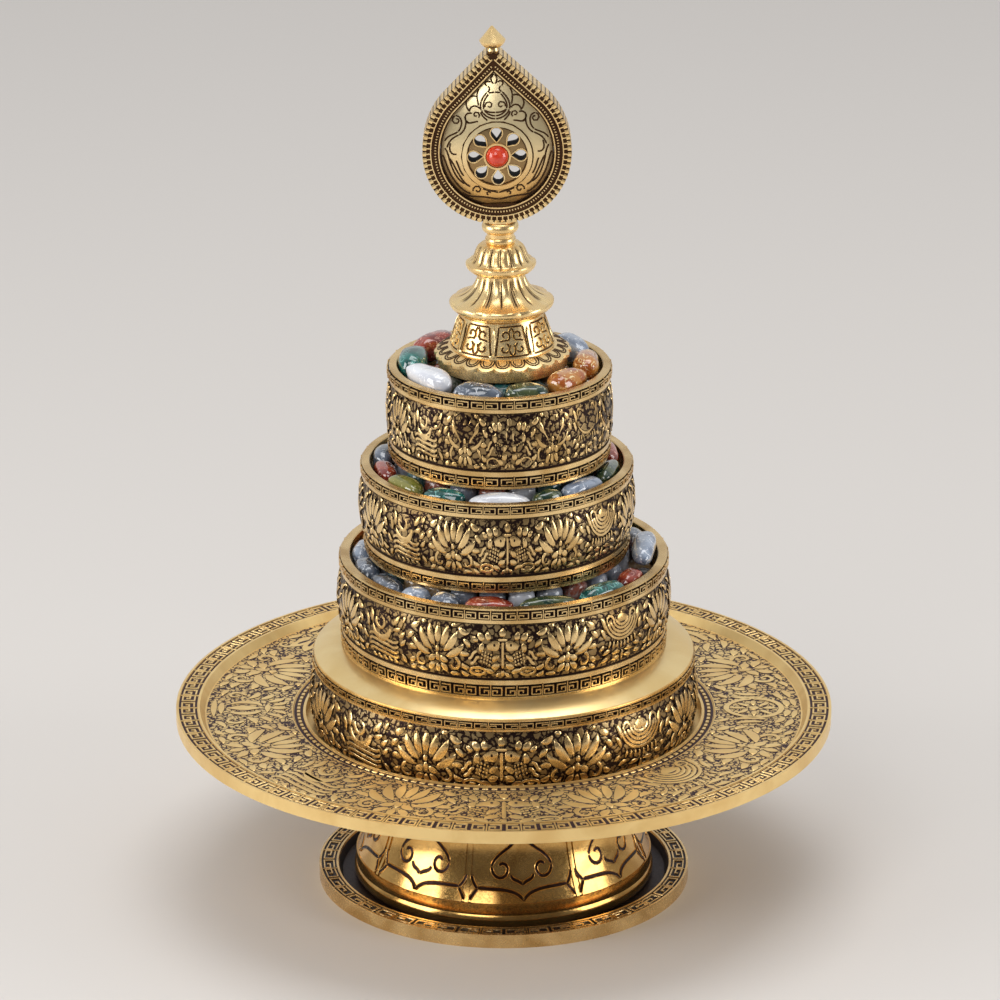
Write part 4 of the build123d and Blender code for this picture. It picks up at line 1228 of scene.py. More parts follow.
def stones_in(node: str, centre_x: float) -> list[LyingStone]:
    """Finds the separate stones of a CAD node.

    Args:
        node: the node's name.
        centre_x: where its ring's axis stands.

    Returns:
        The stones.
    """
    bm = bmesh.new()
    bm.from_mesh(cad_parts[node].data)
    bmesh.ops.scale(bm, vec=(1 / MM, 1 / MM, 1 / MM), verts=bm.verts)
    bmesh.ops.remove_doubles(bm, verts=bm.verts, dist=0.01)
    waiting = set(bm.verts)
    found = []
    while waiting:
        island, front = [], [waiting.pop()]
        while front:
            vert = front.pop()
            island.append(vert.co.copy())
            for edge in vert.link_edges:
                other = edge.other_vert(vert)
                if other in waiting:
                    waiting.remove(other)
                    front.append(other)
        rough = sum(island, Vector()) / len(island)
        azimuth = math.atan2(rough.x - centre_x, -rough.y)
        run, out = bearings(azimuth)
        spans = []
        for axis in (run, out, Vector((0, 0, 1))):
            shares = [spot.dot(axis) for spot in island]
            spans.append((min(shares), max(shares)))
        middle = run * sum(spans[0]) / 2 + out * sum(spans[1]) / 2 + Vector((0, 0, sum(spans[2]) / 2))
        found.append(LyingStone(node, middle, azimuth, Vector([(high - low) / 2 for low, high in spans])))
    bm.free()
    return sorted(found, key=lambda stone: stone.azimuth)


@dataclass
class StoneFilling:
    """What fills one ring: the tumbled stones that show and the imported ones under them."""

    ring: str
    seed: int
    packed_size: float = 8.4        # how long a packed stone is
    crowding: float = 1.15          # how much longer than high it is
    packed_fill: Point = (0.98, 0.99)       # shares of its room that it takes up, outwards and up
    packed_length: float = 0.97     # and along its circle
    roughness: float = 0.05         # dents, as a share of a stone's size
    taper: float = 0.22             # the most that a stone narrows to one end
    gap: float = 0.3

    def build(self) -> None:
        """Replaces the CAD stones and heap with tumbled ones."""
        low, high = box_mm(f"heap_{self.ring}")
        centre_x = (low.x + high.x) / 2
        nodes = sorted(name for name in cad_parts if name.startswith(f"stones_{self.ring}_"))
        lying = []
        for node in nodes:
            stones = stones_in(node, centre_x)
            self.tumble(node, stones)
            lying.extend(stones)
        self.pack(low, high, centre_x, lying)

    def tumble(self, node: str, stones: Sequence[LyingStone]) -> None:
        """Builds the visible stones of one colour."""
        draw_from = random.Random(f"{self.seed}{node}")
        relief = Relief(f"tumbled_{node[7:]}")
        base = pebble(4)
        for stone in stones:
            seat = Vector([draw_from.uniform(-40, 40) for _ in range(3)])
            lean = draw_from.uniform(-self.taper, self.taper)

            def place(x: float, y: float, z: float) -> Vector:
                spot = Vector((x, y, z))
                dent = noise.noise(spot * 0.9 + seat) * 2.2 + noise.noise(spot * 2.1 + seat) * 0.8
                taper = 1 - lean * x * 0.5 - abs(lean) * 0.5
                spot = Vector((x, y * taper, z * taper)) * (1 - self.roughness * (1 + dent))
                return stone.point(spot.x, spot.y, spot.z)

            relief.stamp(base, place, 1.0)
        colour = node.rsplit("_", 1)[1]
        stone_finish = STONE_COLOURS.get(f"{self.ring}_{colour}", STONE_COLOURS[colour])
        relief.finish("base", f"{colour}_stone", stone_finish.material(), node)

    def pack(self, low: Vector, high: Vector, centre_x: float, lying: Sequence[LyingStone]) -> None:
        """Builds the heap, layer by layer, each in rings of stones around the middle.

        Args:
            low: the CAD heap's lowest corner.
            high: its highest corner.
            centre_x: where its axis stands.
            lying: the stones that lie on it.
        """
        draw_from = random.Random(self.seed)
        relief = Relief(f"packed_{self.ring}")
        outer = (high.x - low.x) / 2
        trough = min(stone.middle.z - stone.halves.z for stone in lying) - self.gap
        axis = Vector((centre_x, 0, 0))
        inner = min((stone.middle - axis).to_2d().length - stone.halves.y for stone in lying) - self.gap
        for bottom, top, reach in ((low.z, trough, outer), (trough, high.z, inner)):
            layers = max(1, round((top - bottom) / self.packed_size * self.crowding))
            tall = (top - bottom) / layers
            circles = max(1, round(reach / self.packed_size))
            halves = (reach / circles / 2 * self.packed_fill[0], tall / 2 * self.packed_fill[1])
            for layer in range(layers):
                middle = axis + Vector((0, 0, bottom + tall * (layer + 0.5)))
                for circle in range(circles):
                    self.circle(relief, draw_from, middle, reach * (circle + 0.5) / circles, halves)
        relief.finish("base", "packed_stones", PackedStones().material(), f"heap_{self.ring}")

    def circle(
        self, relief: Relief, draw_from: random.Random, middle: Vector, radius: float, halves: Point,
    ) -> None:
        """Lays one circle of packed stones.

        Args:
            relief: the heap.
            draw_from: the source of chance.
            middle: the circle's middle.
            radius: the circle's radius.
            halves: its stones' half sizes outwards and up.
        """
        base = pebble(2)
        tints = relief.bm.verts.layers.float["crest"]
        count = max(3, round(math.tau * radius / (self.packed_size * self.crowding)))
        start = draw_from.uniform(0, math.tau)
        for index in range(count):
            azimuth = start + math.tau * index / count
            out = bearings(azimuth)[1]
            half_length = math.pi * radius / count * self.packed_length
            stone = LyingStone("", middle + out * radius, azimuth, Vector((half_length, *halves)))
            before = len(relief.bm.verts)
            relief.stamp(base, stone.point, 1.0)
            tint = draw_from.random()
            relief.bm.verts.ensure_lookup_table()
            for vert in relief.bm.verts[before:]:
                vert[tints] = tint


@dataclass(frozen=True)
class LeaningAxis:
    """An upright line that leans towards the viewer's left, with points around it."""

    x: float
    z: float
    lean: float             # in degrees

    def point(self, x: float, y: float, up: float) -> Vector:
        """Gives a point beside the line, at a distance to the right and towards the back."""
        cosine, sine = math.cos(math.radians(self.lean)), math.sin(math.radians(self.lean))
        return Vector((self.x + x * cosine - up * sine, y, self.z + x * sine + up * cosine))

    def around(self, radius: float, azimuth: float, up: float) -> Vector:
        """Gives a point at a radius and an azimuth in radians."""
        return self.point(radius * math.sin(azimuth), -radius * math.cos(azimuth), up)

    def cone(self, azimuth: float, foot: Point, top: Point) -> Place:
        """Gives the place of a motif on a cone between two radii and heights."""
        first, last = Vector(foot), Vector(top)
        middle = (first + last) / 2
        run = (last - first).normalized()
        out = Vector((run.y, -run.x))

        def place(x: float, y: float, h: float) -> Vector:
            spot = middle + run * y + out * h
            return self.around(spot.x, math.radians(azimuth) + x / middle.x, spot.y)

        return place


def turned(axis: LeaningAxis, profile: Sequence[Point], steps: int, shape: Chasing) -> bmesh.types.BMesh:
    """Spins a profile around an axis and chases the surface.

    Args:
        axis: the axis.
        profile: radius and height from the bottom's middle to the top's middle.
        steps: how many steps go round.
        shape: gives, for an azimuth in radians and a share of the profile, how far the point
            moves outwards and upwards and how bright the metal is there.

    Returns:
        The mesh, in millimetres.
    """
    bm = bmesh.new()
    crest = bm.verts.layers.float.new("crest")
    along = bm.verts.layers.float.new("along")
    chain = [bm.verts.new((radius, 0, height)) for radius, height in profile]
    for index, vert in enumerate(chain):
        vert[along] = index / (len(chain) - 1)
    edges = [bm.edges.new(pair) for pair in zip(chain, chain[1:])]
    upright = {"cent": (0, 0, 0), "axis": (0, 0, 1), "angle": math.tau}
    bmesh.ops.spin(bm, geom=[*chain, *edges], steps=steps, use_merge=True, **upright)
    bmesh.ops.remove_doubles(bm, verts=bm.verts, dist=0.0005)
    for vert in bm.verts:
        radius = math.hypot(vert.co.x, vert.co.y)
        azimuth = math.atan2(vert.co.x, -vert.co.y)
        out, up, shine = shape(azimuth, vert[along]) if radius > 0.01 else (0.0, 0.0, 1.0)
        vert.co = axis.around(radius + out, azimuth, vert.co.z + up)
        vert[crest] = shine
    bmesh.ops.recalc_face_normals(bm, faces=bm.faces)
    return bm


def curve(*points: Point, count: int = 10) -> list[Point]:
    """Gives points along a Bezier curve, with its ends."""
    bend = Bend(tuple(points), 1.0)
    return [tuple(bend.at(step / count)) for step in range(count + 1)]


FIXINGS = (
    "foot_pins", "plate_screw", "plate_washer", "plate_nut", "ornament_rod", "rod_washer", "rod_nut",
)


@dataclass
class FootAndWaist:
    """The foot ring with its meander, and the waist with its engraved petal panels."""

    foot_radius: float = 62.0
    rim_width: float = 6.4
    line: float = 0.7               # plain metal on both sides of the meander
    foot_top: float = 4.35
    keys: int = 48
    key_line: float = 0.62
    key_rise: float = 0.32
    panels: int = 8
    panel_turn: float = 7.8
    panel_radius: float = 47.0
    panel_low: float = 10.0
    panel_high: float = 53.0
    panel_line: float = 1.5
    panel_rise: float = 0.2

    def petal_lines(self) -> list[Stroke]:
        """Draws a panel from its foot up: a hanging cloud-head, two scallops and half diamonds."""
        width = self.panel_line
        half = math.pi * self.panel_radius / self.panels
        return both([
            incised(width, (9.0, 40.0), (3.5, 36.0), (1.8, 30.0), (2.2, 21.0)),
            incised(width, (2.2, 21.0), (2.8, 16.6), (9.4, 16.4), (11.2, 11.2)),
            Curl((7.5, 10.6), (3.7, 1.1), (8, -320), width, Nib.ROUND, cut=True),
            incised(width, (4.2, 8.8), (3.9, 6.4), (1.2, 7.2), (0.0, 5.4)),
            incised(width, (0.0, 0.9), (2.6, 4.6), (9.0, 4.2), (half - 2.5, 4.4)),
            incised(width, (half, 8.2), (half - 0.6, 5.8), (half - 2.5, 4.2)),
            incised(width, (half - 2.5, 4.2), (half, 0.9)),
        ])

    def build(self) -> None:
        """Dresses the CAD nodes and lays the patterns on them."""
        outer = self.foot_radius - self.line
        inner = self.foot_radius - self.rim_width + self.line
        painted_shade_radius = self.foot_radius - self.rim_width - 0.3
        # The band between inner and outer is the meander's dark chased ground. Everything inside the rim
        # above 1.2 mm is painted shade under the plate, in the same dark colour.
        sunk = ((inner, outer, 2.0), (0.0, painted_shade_radius, 1.2))
        foot = Brass("foot_brass", dark=(0.026, 0.022, 0.036), roughness=0.2, circles=sunk)
        dress("foot_ring", foot.material())
        steel = Brass("fixing_steel", (0.58, 0.57, 0.55), (0.50, 0.49, 0.47), roughness=0.32).material()
        for node in FIXINGS:
            dress(node, steel)
        polished = Brass("waist_brass", (0.68, 0.41, 0.13), (0.42, 0.22, 0.055), roughness=0.13)
        dress("pedestal_waist", polished.material())
        keys = Relief("foot_meander")
        meander = Meander(outer - inner, self.keys, self.key_line, self.key_rise)
        meander.on_disc(keys, (outer + inner) / 2, self.foot_top)
        keys.finish("stand", "chased_brass", Brass("foot_chased_brass", crested=True).material())
        wall = Wall("pedestal_waist")
        engraved = Relief("waist_engraving")
        flat = motif("panel", self.petal_lines())
        for index in range(self.panels):
            azimuth = self.panel_turn + index * 360 / self.panels
            place = wall.around(azimuth, self.panel_low, self.panel_low, self.panel_high)
            engraved.stamp(flat, place, self.panel_rise)
        line_brass = replace(polished, name="waist_line_brass", crested=True)
        engraved.finish("stand", "dark_brass", line_brass.material())


@dataclass
class OfferingPlate:
    """The wide plate: engraved field, dotted borders and the meander on its rim."""

    field: float = 59.5
    field_inner: float = 70.6
    field_outer: float = 99.0
    field_margin: float = 1.2       # plain metal inside and outside the field's motifs
    field_rise: float = 0.22
    border_inner: float = 66.9
    border_outer: float = 69.9
    border_level: float = 59.15
    dash_pitch: float = 3.0
    dash_rise: float = 0.3
    rim_inner: float = 102.1
    rim_outer: float = 108.2
    rim_level: float = 61.65
    rim_keys: int = 120
    rim_line: float = 0.72
    rim_rise: float = 0.32
    ground: float = 0.3             # how far below the metal's level its dark grounds start

    def build(self) -> None:
        """Dresses the CAD plate and lays its patterns on it."""
        light = Brass(
            "plate_brass", (0.92, 0.67, 0.29), (0.80, 0.54, 0.21), (0.050, 0.027, 0.034),
            metallic=0.75, roughness=0.33, cells=0.5, ground=0.1, line=0.13,
            rounds=((self.field_inner, self.field_outer, self.field - self.ground),),
            circles=(
                (self.border_inner, self.border_outer, self.border_level - self.ground),
                (self.rim_inner, self.rim_outer, self.rim_level - self.ground),
            ),
        )
        dress("plate", light.material())
        pattern = replace(light, name="plate_chased_brass", rounds=(), circles=(), crested=True)
        chased = pattern.material()
        field = Relief("plate_field_pattern")
        middle = (self.field_inner + self.field_outer) / 2
        band = SymbolBand(self.field_outer - self.field_inner - 2 * self.field_margin, self.field_rise)
        band.lay(field, math.tau * middle, lambda azimuth: on_disc(azimuth, middle, self.field))
        field.finish("stand", "chased_brass", chased)
        borders = Relief("plate_borders")
        dash = motif("dash", [Key(((-0.9, 0), (0.9, 0)), 1.3)])
        radius = (self.border_inner + self.border_outer) / 2
        dashes = round(math.tau * radius / self.dash_pitch)
        for index in range(dashes):
            place = on_disc(index * 360 / dashes, radius, self.border_level)
            borders.stamp(dash, place, self.dash_rise)
        rim = Meander(self.rim_outer - self.rim_inner, self.rim_keys, self.rim_line, self.rim_rise)
        rim.on_disc(borders, (self.rim_inner + self.rim_outer) / 2, self.rim_level)
        borders.finish("stand", "chased_brass", chased)


GILT = Brass(
    "gilt_brass", (0.98, 0.75, 0.38), (0.90, 0.62, 0.27), roughness=0.24, metallic=0.85, grain=0.0005,
)
CHASED_GILT = replace(GILT, name="chased_gilt", dark=(0.07, 0.035, 0.015), crested=True)


@dataclass(frozen=True)
class LotusTier:
    """One lotus tier: a drawn-in sole, a scalloped rim and petals with grooves between them."""

    node: str
    foot: float                     # height of its sole up the axis
    sole: float                     # the sole's radius
    rim: tuple[Point, ...]          # curve from the sole out to the rim, from the foot up
    edge: Point                     # the rim's upper edge
    petals: tuple[Point, ...]       # curve up the petals
    petal_points: int
    scallop: float                  # how far the rim draws in between the petals
    depth: float                    # of the grooves
    lobes: int = 8
    steps: int = 240

    def profile(self) -> list[Point]:
        """Gives the tier's radii and heights from the bottom's middle to the top's."""
        sole, rim, edge, petals = (
            [(radius, self.foot + up) for radius, up in row]
            for row in (((0.0, 0.0), (self.sole, 0.0)), self.rim, (self.edge,), self.petals)
        )
        return [*sole, *curve(*rim), *edge, *curve(*petals, count=self.petal_points), (0.0, petals[-1][1])]

    def chase(self, azimuth: float, share: float) -> tuple[float, float, float]:
        """Chases the petals, with a groove between them and a narrow one in each gap.

        Args:
            azimuth: in radians.
            share: of the profile, from the bottom's middle to the top's.

        Returns:
            How far the point moves outwards and upwards, and how bright the metal is there.
        """
        wave = abs(math.cos(self.lobes * azimuth / 2))
        drawn = self.scallop * (1 - wave) ** 1.6
        rim = math.exp(-((share - 0.36) / 0.12) ** 2)
        above = min(1.0, max(0.0, (share - 0.4) * 8)) * min(1.0, max(0.0, (0.98 - share) * 12))
        fold = abs(math.sin(self.lobes * azimuth))
        groove = (1 - fold) ** 3
        edge = math.exp(-((wave - 0.28) / 0.07) ** 2)
        out = -drawn * rim - above * self.depth * (groove * 0.8 + 0.4 * edge) + above * 0.25 * fold
        shine = 1 - above * min(1.0, groove * 1.2 + 0.8 * edge)
        return min(out, 0.0) if share < 0.45 else out - 0.25 * above, 0.0, shine

    def build(self, axis: LeaningAxis, material: bpy.types.Material) -> None:
        """Replaces the CAD tier with the chased one."""
        bm = turned(axis, self.profile(), self.steps, self.chase)
        finish(bm, f"chased_{self.node}", "ornament", "gilt_brass", material, self.node)


LOTUS_TIERS = (
    LotusTier(
        "lotus_tier", 18.1, 13.0, ((13.2, 0.1), (17.0, 0.8), (17.1, 3.1)), (17.0, 3.5),
        ((16.7, 3.9), (8.6, 5.6), (7.6, 13.0)), 22, 0.7, 0.55,
    ),
    LotusTier(
        "lotus_bell", 31.1, 7.9, ((8.1, 0.1), (11.4, 0.8), (11.5, 3.1)), (11.4, 3.5),
        ((11.1, 3.7), (8.2, 3.6), (9.2, 8.4), (6.2, 9.8)), 20, 0.5, 0.4,
    ),
)


@dataclass
class OrnamentFoot:
    """The ornament below its leaf: panelled base, two lotus tiers and a beaded neck."""

    axis: LeaningAxis = LeaningAxis(-0.3, 181.81, 1.1)
    skirt_foot: Point = (22.4, 4.2)
    skirt_crown: float = 0.36       # how far the skirt bulges
    skirt_half: float = 2.9         # half its length up the slope
    skirt_petals: int = 24
    skirt_rise: float = 0.3
    panel_foot: Point = (17.0, 6.5)
    panel_top: Point = (13.4, 17.4)
    panels: int = 8
    panel_turn: float = 12.0
    panel_rise: float = 0.28
    bar_rise: float = 0.7
    bar_height: float = 0.85        # how much lower a bar stands than it is drawn

    def scroll_panel(self) -> list[Stroke]:
        """Draws the engraved scrolls of one panel with its frame."""
        side = [
            Curl((-2.2, 2.0), (1.8, 0.5), (-70, 250), 0.95, Nib.ROUND, cut=True),
            Curl((-2.5, -2.3), (1.9, 0.5), (75, -250), 0.95, Nib.ROUND, cut=True),
            incised(0.9, (0, 4.4), (-1.4, 3.2), (-0.4, 0.9)),
            incised(0.9, (0, -4.6), (-1.6, -3.4), (-0.4, -0.9)),
            incised(0.8, (-0.6, 0.5), (-2.4, 0.7), (-4.0, 0.0)),
            incised(0.8, (-4.3, 4.8), (-4.7, 0.0), (-5.2, -4.8)),
        ]
        return [*both(side), incised(0.8, (-4.2, 4.8), (4.2, 4.8)), incised(0.8, (-5.0, -4.9), (5.0, -4.9))]

    def skirt_petal(self) -> list[Stroke]:
        """Draws one petal of the skirt as two dark lines."""
        outer = ((-2.3, 2.2), (-2.7, -2.0), (0, -2.3), (2.7, -2.0), (2.3, 2.2))
        inner = ((-1.5, 2.2), (-1.7, -1.2), (0, -1.4), (1.7, -1.2), (1.5, 2.2))
        return [dark_line(0.5, *outer), dark_line(0.4, *inner)]

    def on_skirt(self, azimuth: float) -> Place:
        """Gives the place of a motif on the skirt, which bulges a little above a cone."""
        cone = self.axis.cone(azimuth, self.skirt_foot, self.panel_foot)

        def place(x: float, y: float, h: float) -> Vector:
            return cone(x, y, h + self.skirt_crown * (1 - (y / self.skirt_half) ** 2))

        return place

    def build(self) -> None:
        """Dresses the CAD nodes and replaces the two tiers with chased ones."""
        plain, chased = GILT.material(), CHASED_GILT.material()
        for node in ("ornament_base", "turned_neck", "finial"):
            dress(node, plain)
        relief = Relief("ornament_scrolls")
        flat = motif("scroll_panel", self.scroll_panel())
        bar = motif("panel_bar", [leaf((0, 5.2), (0, -6.4), 1.5), leaf((-1.3, -5.6), (1.3, -5.6), 1.0)])
        for index in range(self.panels):
            azimuth = self.panel_turn + index * 360 / self.panels
            relief.stamp(flat, self.axis.cone(azimuth, self.panel_foot, self.panel_top), self.panel_rise)
            between = self.axis.cone(azimuth + 180 / self.panels, self.panel_foot, self.panel_top)
            relief.stamp(bar, between, self.bar_rise, (1.0, self.bar_height))
        petal = motif("skirt_petal", self.skirt_petal())
        for index in range(self.skirt_petals):
            relief.stamp(petal, self.on_skirt(index * 360 / self.skirt_petals), self.skirt_rise)
        relief.finish("ornament", "gilt_brass", chased)
        for tier in LOTUS_TIERS:
            tier.build(self.axis, chased)


@dataclass
class JewelLeaf:
    """The jewel-shaped leaf: bordered frame, chased field and coral wheel, alike on both faces."""

    axis: LeaningAxis = LeaningAxis(-1.26, 231.5, 2.35)
    radius: float = 24.0
    centre: float = 23.0
    shoulder: Point = (17.4, 40.8)
    tip: Point = (2.0, 56.2)
    shoulder_radius: float = 27.3
    belly_steps: int = 30
    side_steps: int = 12
    tip_gap: float = 0.3            # the two sides' lines end this far from the middle
    frame_half: float = 4.0
    frame_rise: float = 0.45
    field_half: float = 2.5
    field_rise: float = 0.4
    border: float = 5.6
    block_length: float = 1.3
    block_pitch: float = 1.85
    block_width: float = 1.6
    edge_rise: float = 0.09         # of the blocks on the frame's outer edge
    edge_foot: float = 0.4          # lowest height of a block there
    tooth_length: float = 1.15
    outer_line: float = 2.6         # insets of the frame's lines and beads
    bead_line: float = 4.1
    inner_line: float = 5.25
    bead_pitch: float = 0.95
    wheel: float = 21.4
    wheel_radius: float = 11.3
    hole_start: float = 4.5         # pointed inner end of an opening, from the wheel's centre
    hole_centre: float = 7.65
    hole_radius: float = 1.75
    holes: int = 8

    def outline(self, inset: float) -> list[Point]:
        """Gives close points up the leaf's right side, drawn in by an inset."""
        points = []
        reach = self.radius - inset
        start = -math.asin(min(1.0, self.centre / reach))
        for step in range(self.belly_steps + 1):
            angle = start - start * step / self.belly_steps
            points.append((reach * math.cos(angle), self.centre + reach * math.sin(angle)))
        end = math.asin((self.shoulder[1] - self.centre) / self.shoulder_radius)
        middle = self.radius - self.shoulder_radius
        reach = self.shoulder_radius - inset
        for step in range(1, self.side_steps + 1):
            angle = end * step / self.side_steps
            points.append((middle + reach * math.cos(angle), self.centre + reach * math.sin(angle)))
        run = (Vector(self.tip) - Vector(self.shoulder)).normalized()
        inward = Vector((-run.y, run.x)) * inset
        first, last = Vector(self.shoulder) + inward, Vector(self.tip) + inward
        for step in range(1, self.side_steps + 1):
            spot = first.lerp(last, step / self.side_steps)
            if spot.x < self.tip_gap:
                points.append(tuple(first + run * ((self.tip_gap - first.x) / run.x)))
                break
            points.append(tuple(spot))
        return points

    def spots(self, inset: float, pitch: float) -> list[tuple[Vector, Vector]]:
        """Gives places at even distances up the right side, with the outline's direction at each."""
        points = [Vector(point) for point in self.outline(inset)]
        found, travelled = [], pitch / 2
        for first, second in zip(points, points[1:]):
            length = (second - first).length
            while travelled < length:
                found.append((first.lerp(second, travelled / length), (second - first).normalized()))
                travelled += pitch
            travelled -= length
        return found

    def border_strokes(self) -> list[Stroke]:
        """Draws the frame's face: blocks at its edge, teeth, a line, beads and a line."""
        drawn = []
        for spot, run in self.spots(self.block_length, self.block_pitch):
            out = Vector((run.y, -run.x))
            edge, root = tuple(spot + out * self.block_length), tuple(spot + out * 0.1)
            drawn.append(Bend((edge, root), self.block_width, Nib.BAR))
            drawn.append(Bend((root, tuple(spot - out * self.tooth_length)), 0.5, Nib.BAR, rise=0.8))
        for spot, run in self.spots(self.bead_line, self.bead_pitch):
            drawn.append(Bend((tuple(spot - run * 0.22), tuple(spot + run * 0.22)), 0.8, Nib.ROUND))
        lines = [*self.lines(self.outer_line, 0.45, 1.0), *self.lines(self.inner_line, 0.5, 1.0)]
        return [*both(drawn), *lines]

    def lines(self, inset: float, width: float, tone: float) -> list[Stroke]:
        """Draws a line up both sides of the outline."""
        right = self.outline(inset)
        left = [(-x, y) for x, y in right]
        return [Trail(tuple(right), width, tone), Trail(tuple(left), width, tone)]

    def chasing(self) -> list[Stroke]:
        """Draws the field's dark lines: a vase with its flame, clouds, scrolls and long waves."""
        line = 0.58
        curves = [
            ((-0.1, 49.0), (-1.6, 47.4), (-0.9, 46.4), (-0.2, 45.6)),
            ((-1.0, 46.2), (-2.6, 47.2), (-3.6, 45.8), (-2.2, 44.9)),
            ((-2.2, 44.9), (-1.2, 44.4), (-1.4, 43.4), (-2.4, 42.9)),
            ((-2.4, 42.9), (-4.2, 41.0), (-5.2, 39.0), (-4.5, 37.0)),
            ((-4.5, 37.0), (-3.8, 35.0), (-2.0, 34.0), (0.0, 33.9)),
            ((-1.9, 42.3), (-3.4, 40.6), (-4.2, 38.8), (-3.6, 37.2)),
            ((-3.6, 37.2), (-3.0, 35.7), (-1.6, 35.0), (0.0, 34.9)),
            ((-2.0, 42.6), (0.0, 42.9)),
            ((-3.3, 37.0), (-2.0, 35.8), (-0.8, 36.2), (0.0, 36.0)),
            ((-4.9, 44.2), (-5.9, 42.6), (-5.8, 41.4), (-5.3, 38.4)),
            ((-3.9, 45.4), (-5.0, 45.0), (-4.9, 44.2)),
            ((-5.8, 41.6), (-8.2, 42.6), (-10.8, 39.6), (-8.2, 36.6)),
            ((-4.8, 36.4), (-4.4, 35.0), (-3.6, 34.2), (-2.6, 33.4)),
            ((-9.8, 33.6), (-9.0, 32.0), (-7.0, 33.4), (-5.6, 33.2)),
            ((-12.9, 35.5), (-10.4, 35.4), (-10.6, 31.6), (-12.3, 30.1)),
            ((-12.3, 30.1), (-14.0, 28.8), (-15.4, 29.4), (-16.8, 27.0)),
            ((-9.9, 35.2), (-9.0, 32.0), (-10.6, 29.6), (-12.0, 29.0)),
            ((-12.0, 29.0), (-14.4, 28.0), (-15.4, 27.0), (-16.1, 24.8)),
            ((-14.8, 26.4), (-16.0, 23.6), (-14.6, 22.0), (-13.0, 22.6)),
            ((-16.8, 24.8), (-14.8, 21.6), (-16.4, 19.8), (-13.6, 17.2), (-14.4, 14.4), (-10.8, 12.4)),
            ((-15.4, 21.2), (-13.6, 18.6), (-14.0, 17.0), (-11.6, 15.2), (-12.0, 12.6), (-9.0, 11.4)),
            ((-17.6, 22.6), (-16.0, 18.8), (-16.4, 16.2), (-13.8, 13.2), (-12.4, 10.2), (-9.0, 9.0)),
            ((-13.4, 20.4), (-12.4, 18.4), (-12.6, 17.0), (-11.0, 15.0)),
            ((-11.6, 9.6), (-9.0, 6.8), (-5.0, 9.0), (-2.6, 6.8), (0.0, 6.9)),
            ((-5.2, 10.6), (-3.4, 9.6), (-2.2, 9.8), (0.0, 9.0)),
        ]
        side = [dark_line(line, *points) for points in curves]
        swirls = [
            ((-1.9, 38.5), (1.5, 0.4), (-150, -520)),
            ((-6.6, 36.8), (1.7, 1.7), (20, 190)),
            ((-8.3, 34.6), (1.6, 1.6), (60, 260)),
            ((-6.3, 35.5), (1.3, 0.3), (-60, 330)),
            ((-12.6, 33.9), (1.6, 0.4), (100, 480)),
            ((-6.8, 10.2), (1.6, 0.4), (200, -180)),
            ((-3.4, 8.8), (0.8, 0.3), (0, 300)),
        ]
        side += [Curl(*swirl, line, Nib.ROUND, tone=0.0, rise=DARK_RISE) for swirl in swirls]
        return [*both(side), *self.lines(self.border + 0.35, 0.5, 0.0)]

    def wheel_strokes(self) -> list[Stroke]:
        """Draws the wheel: its bright rim between dark lines and a bright lip round each opening."""
        hub = Vector((0, self.wheel))
        drawn = []
        for radius, width in ((self.wheel_radius + 0.25, 0.45), (self.wheel_radius - 1.65, 0.4)):
            rim = Curl(tuple(hub), (radius, radius), (0, 360), width, Nib.BAR, tone=0.0, rise=DARK_RISE)
            drawn.append(rim)
        lip = self.hole_radius + 0.3
        touch = math.pi / 2 + math.asin(lip / (self.hole_centre - self.hole_start + 0.2))
        loop = [(self.hole_start - 0.2, 0.0)]
        for step in range(17):
            angle = touch * (1 - step / 8)
            loop.append((self.hole_centre + lip * math.cos(angle), lip * math.sin(angle)))
        loop.append(loop[0])
        for index in range(self.holes):
            turn = Matrix.Rotation(math.tau * index / self.holes, 2)
            points = tuple(tuple(hub + turn @ Vector(point)) for point in loop)
            drawn.append(Trail(points, 0.4, rise=0.5))
        return drawn

    def field_material(self) -> bpy.types.Material:
        """Builds the field's finish: painted light that runs from cream above to orange below, darker brown
        inside the wheel's rim, and painted shade, near black, in the wheel's openings.
        """
        shader = Shader("field_brass")
        where = shader.place()
        x, y, z = shader.split(where)
        hub = self.axis.point(0, 0, self.wheel)
        distance = ((x - hub.x).power(2.0) + (z - hub.z).power(2.0)).power(0.5)
        cloud = shader.mottle(where, 0.12, 3.0, 0.6)
        # Painted light: the field is cream towards its top and orange towards its bottom, following height,
        # as light and reflections fall on it.
        height = (z + cloud * 5.0).rise(hub.z - 13.0, hub.z + 12.0)
        metal = shader.blend(height, (0.78, 0.45, 0.14), (1.0, 0.82, 0.47))
        inside = 1 - distance.rise(self.wheel_radius - 1.5, self.wheel_radius - 1.3)
        metal = shader.blend(inside * 0.85, metal, (0.26, 0.15, 0.055))
        # Painted shade: the walls inside the wheel's openings are coloured near black, with little metal
        # and much roughness, so that the openings read as dark.
        depth = y.power(2.0).power(0.5)
        wall = (1 - depth.rise(self.field_half - 0.12, self.field_half - 0.04)) * inside
        metal = shader.blend(wall, metal, (0.008, 0.006, 0.006))
        domed = distance * distance * -0.011
        return shader.close({
            "Base Color": metal,
            "Metallic": 0.6 * (1 - wall),
            "Specular IOR Level": 0.2,
            "Roughness": 0.26 + 0.5 * wall,
            "Normal": shader.bump(domed, 1.0),
        })

    def face(self, side: int, depth: float) -> Place:
        """Gives the place of a motif on the front, side 1, or the back, side -1."""

        def place(x: float, y: float, h: float) -> Vector:
            return self.axis.point(x * side, -side * (depth + h), y)

        return place

    def edge(self, spot: Vector, run: Vector, side: int) -> Place:
        """Gives the place of a motif on the frame's outer edge, right, side 1, or left, side -1."""
        out = Vector((run.y, -run.x))

        def place(x: float, y: float, h: float) -> Vector:
            there = spot + run * x + out * h
            return self.axis.point(there.x * side, y, there.y)

        return place

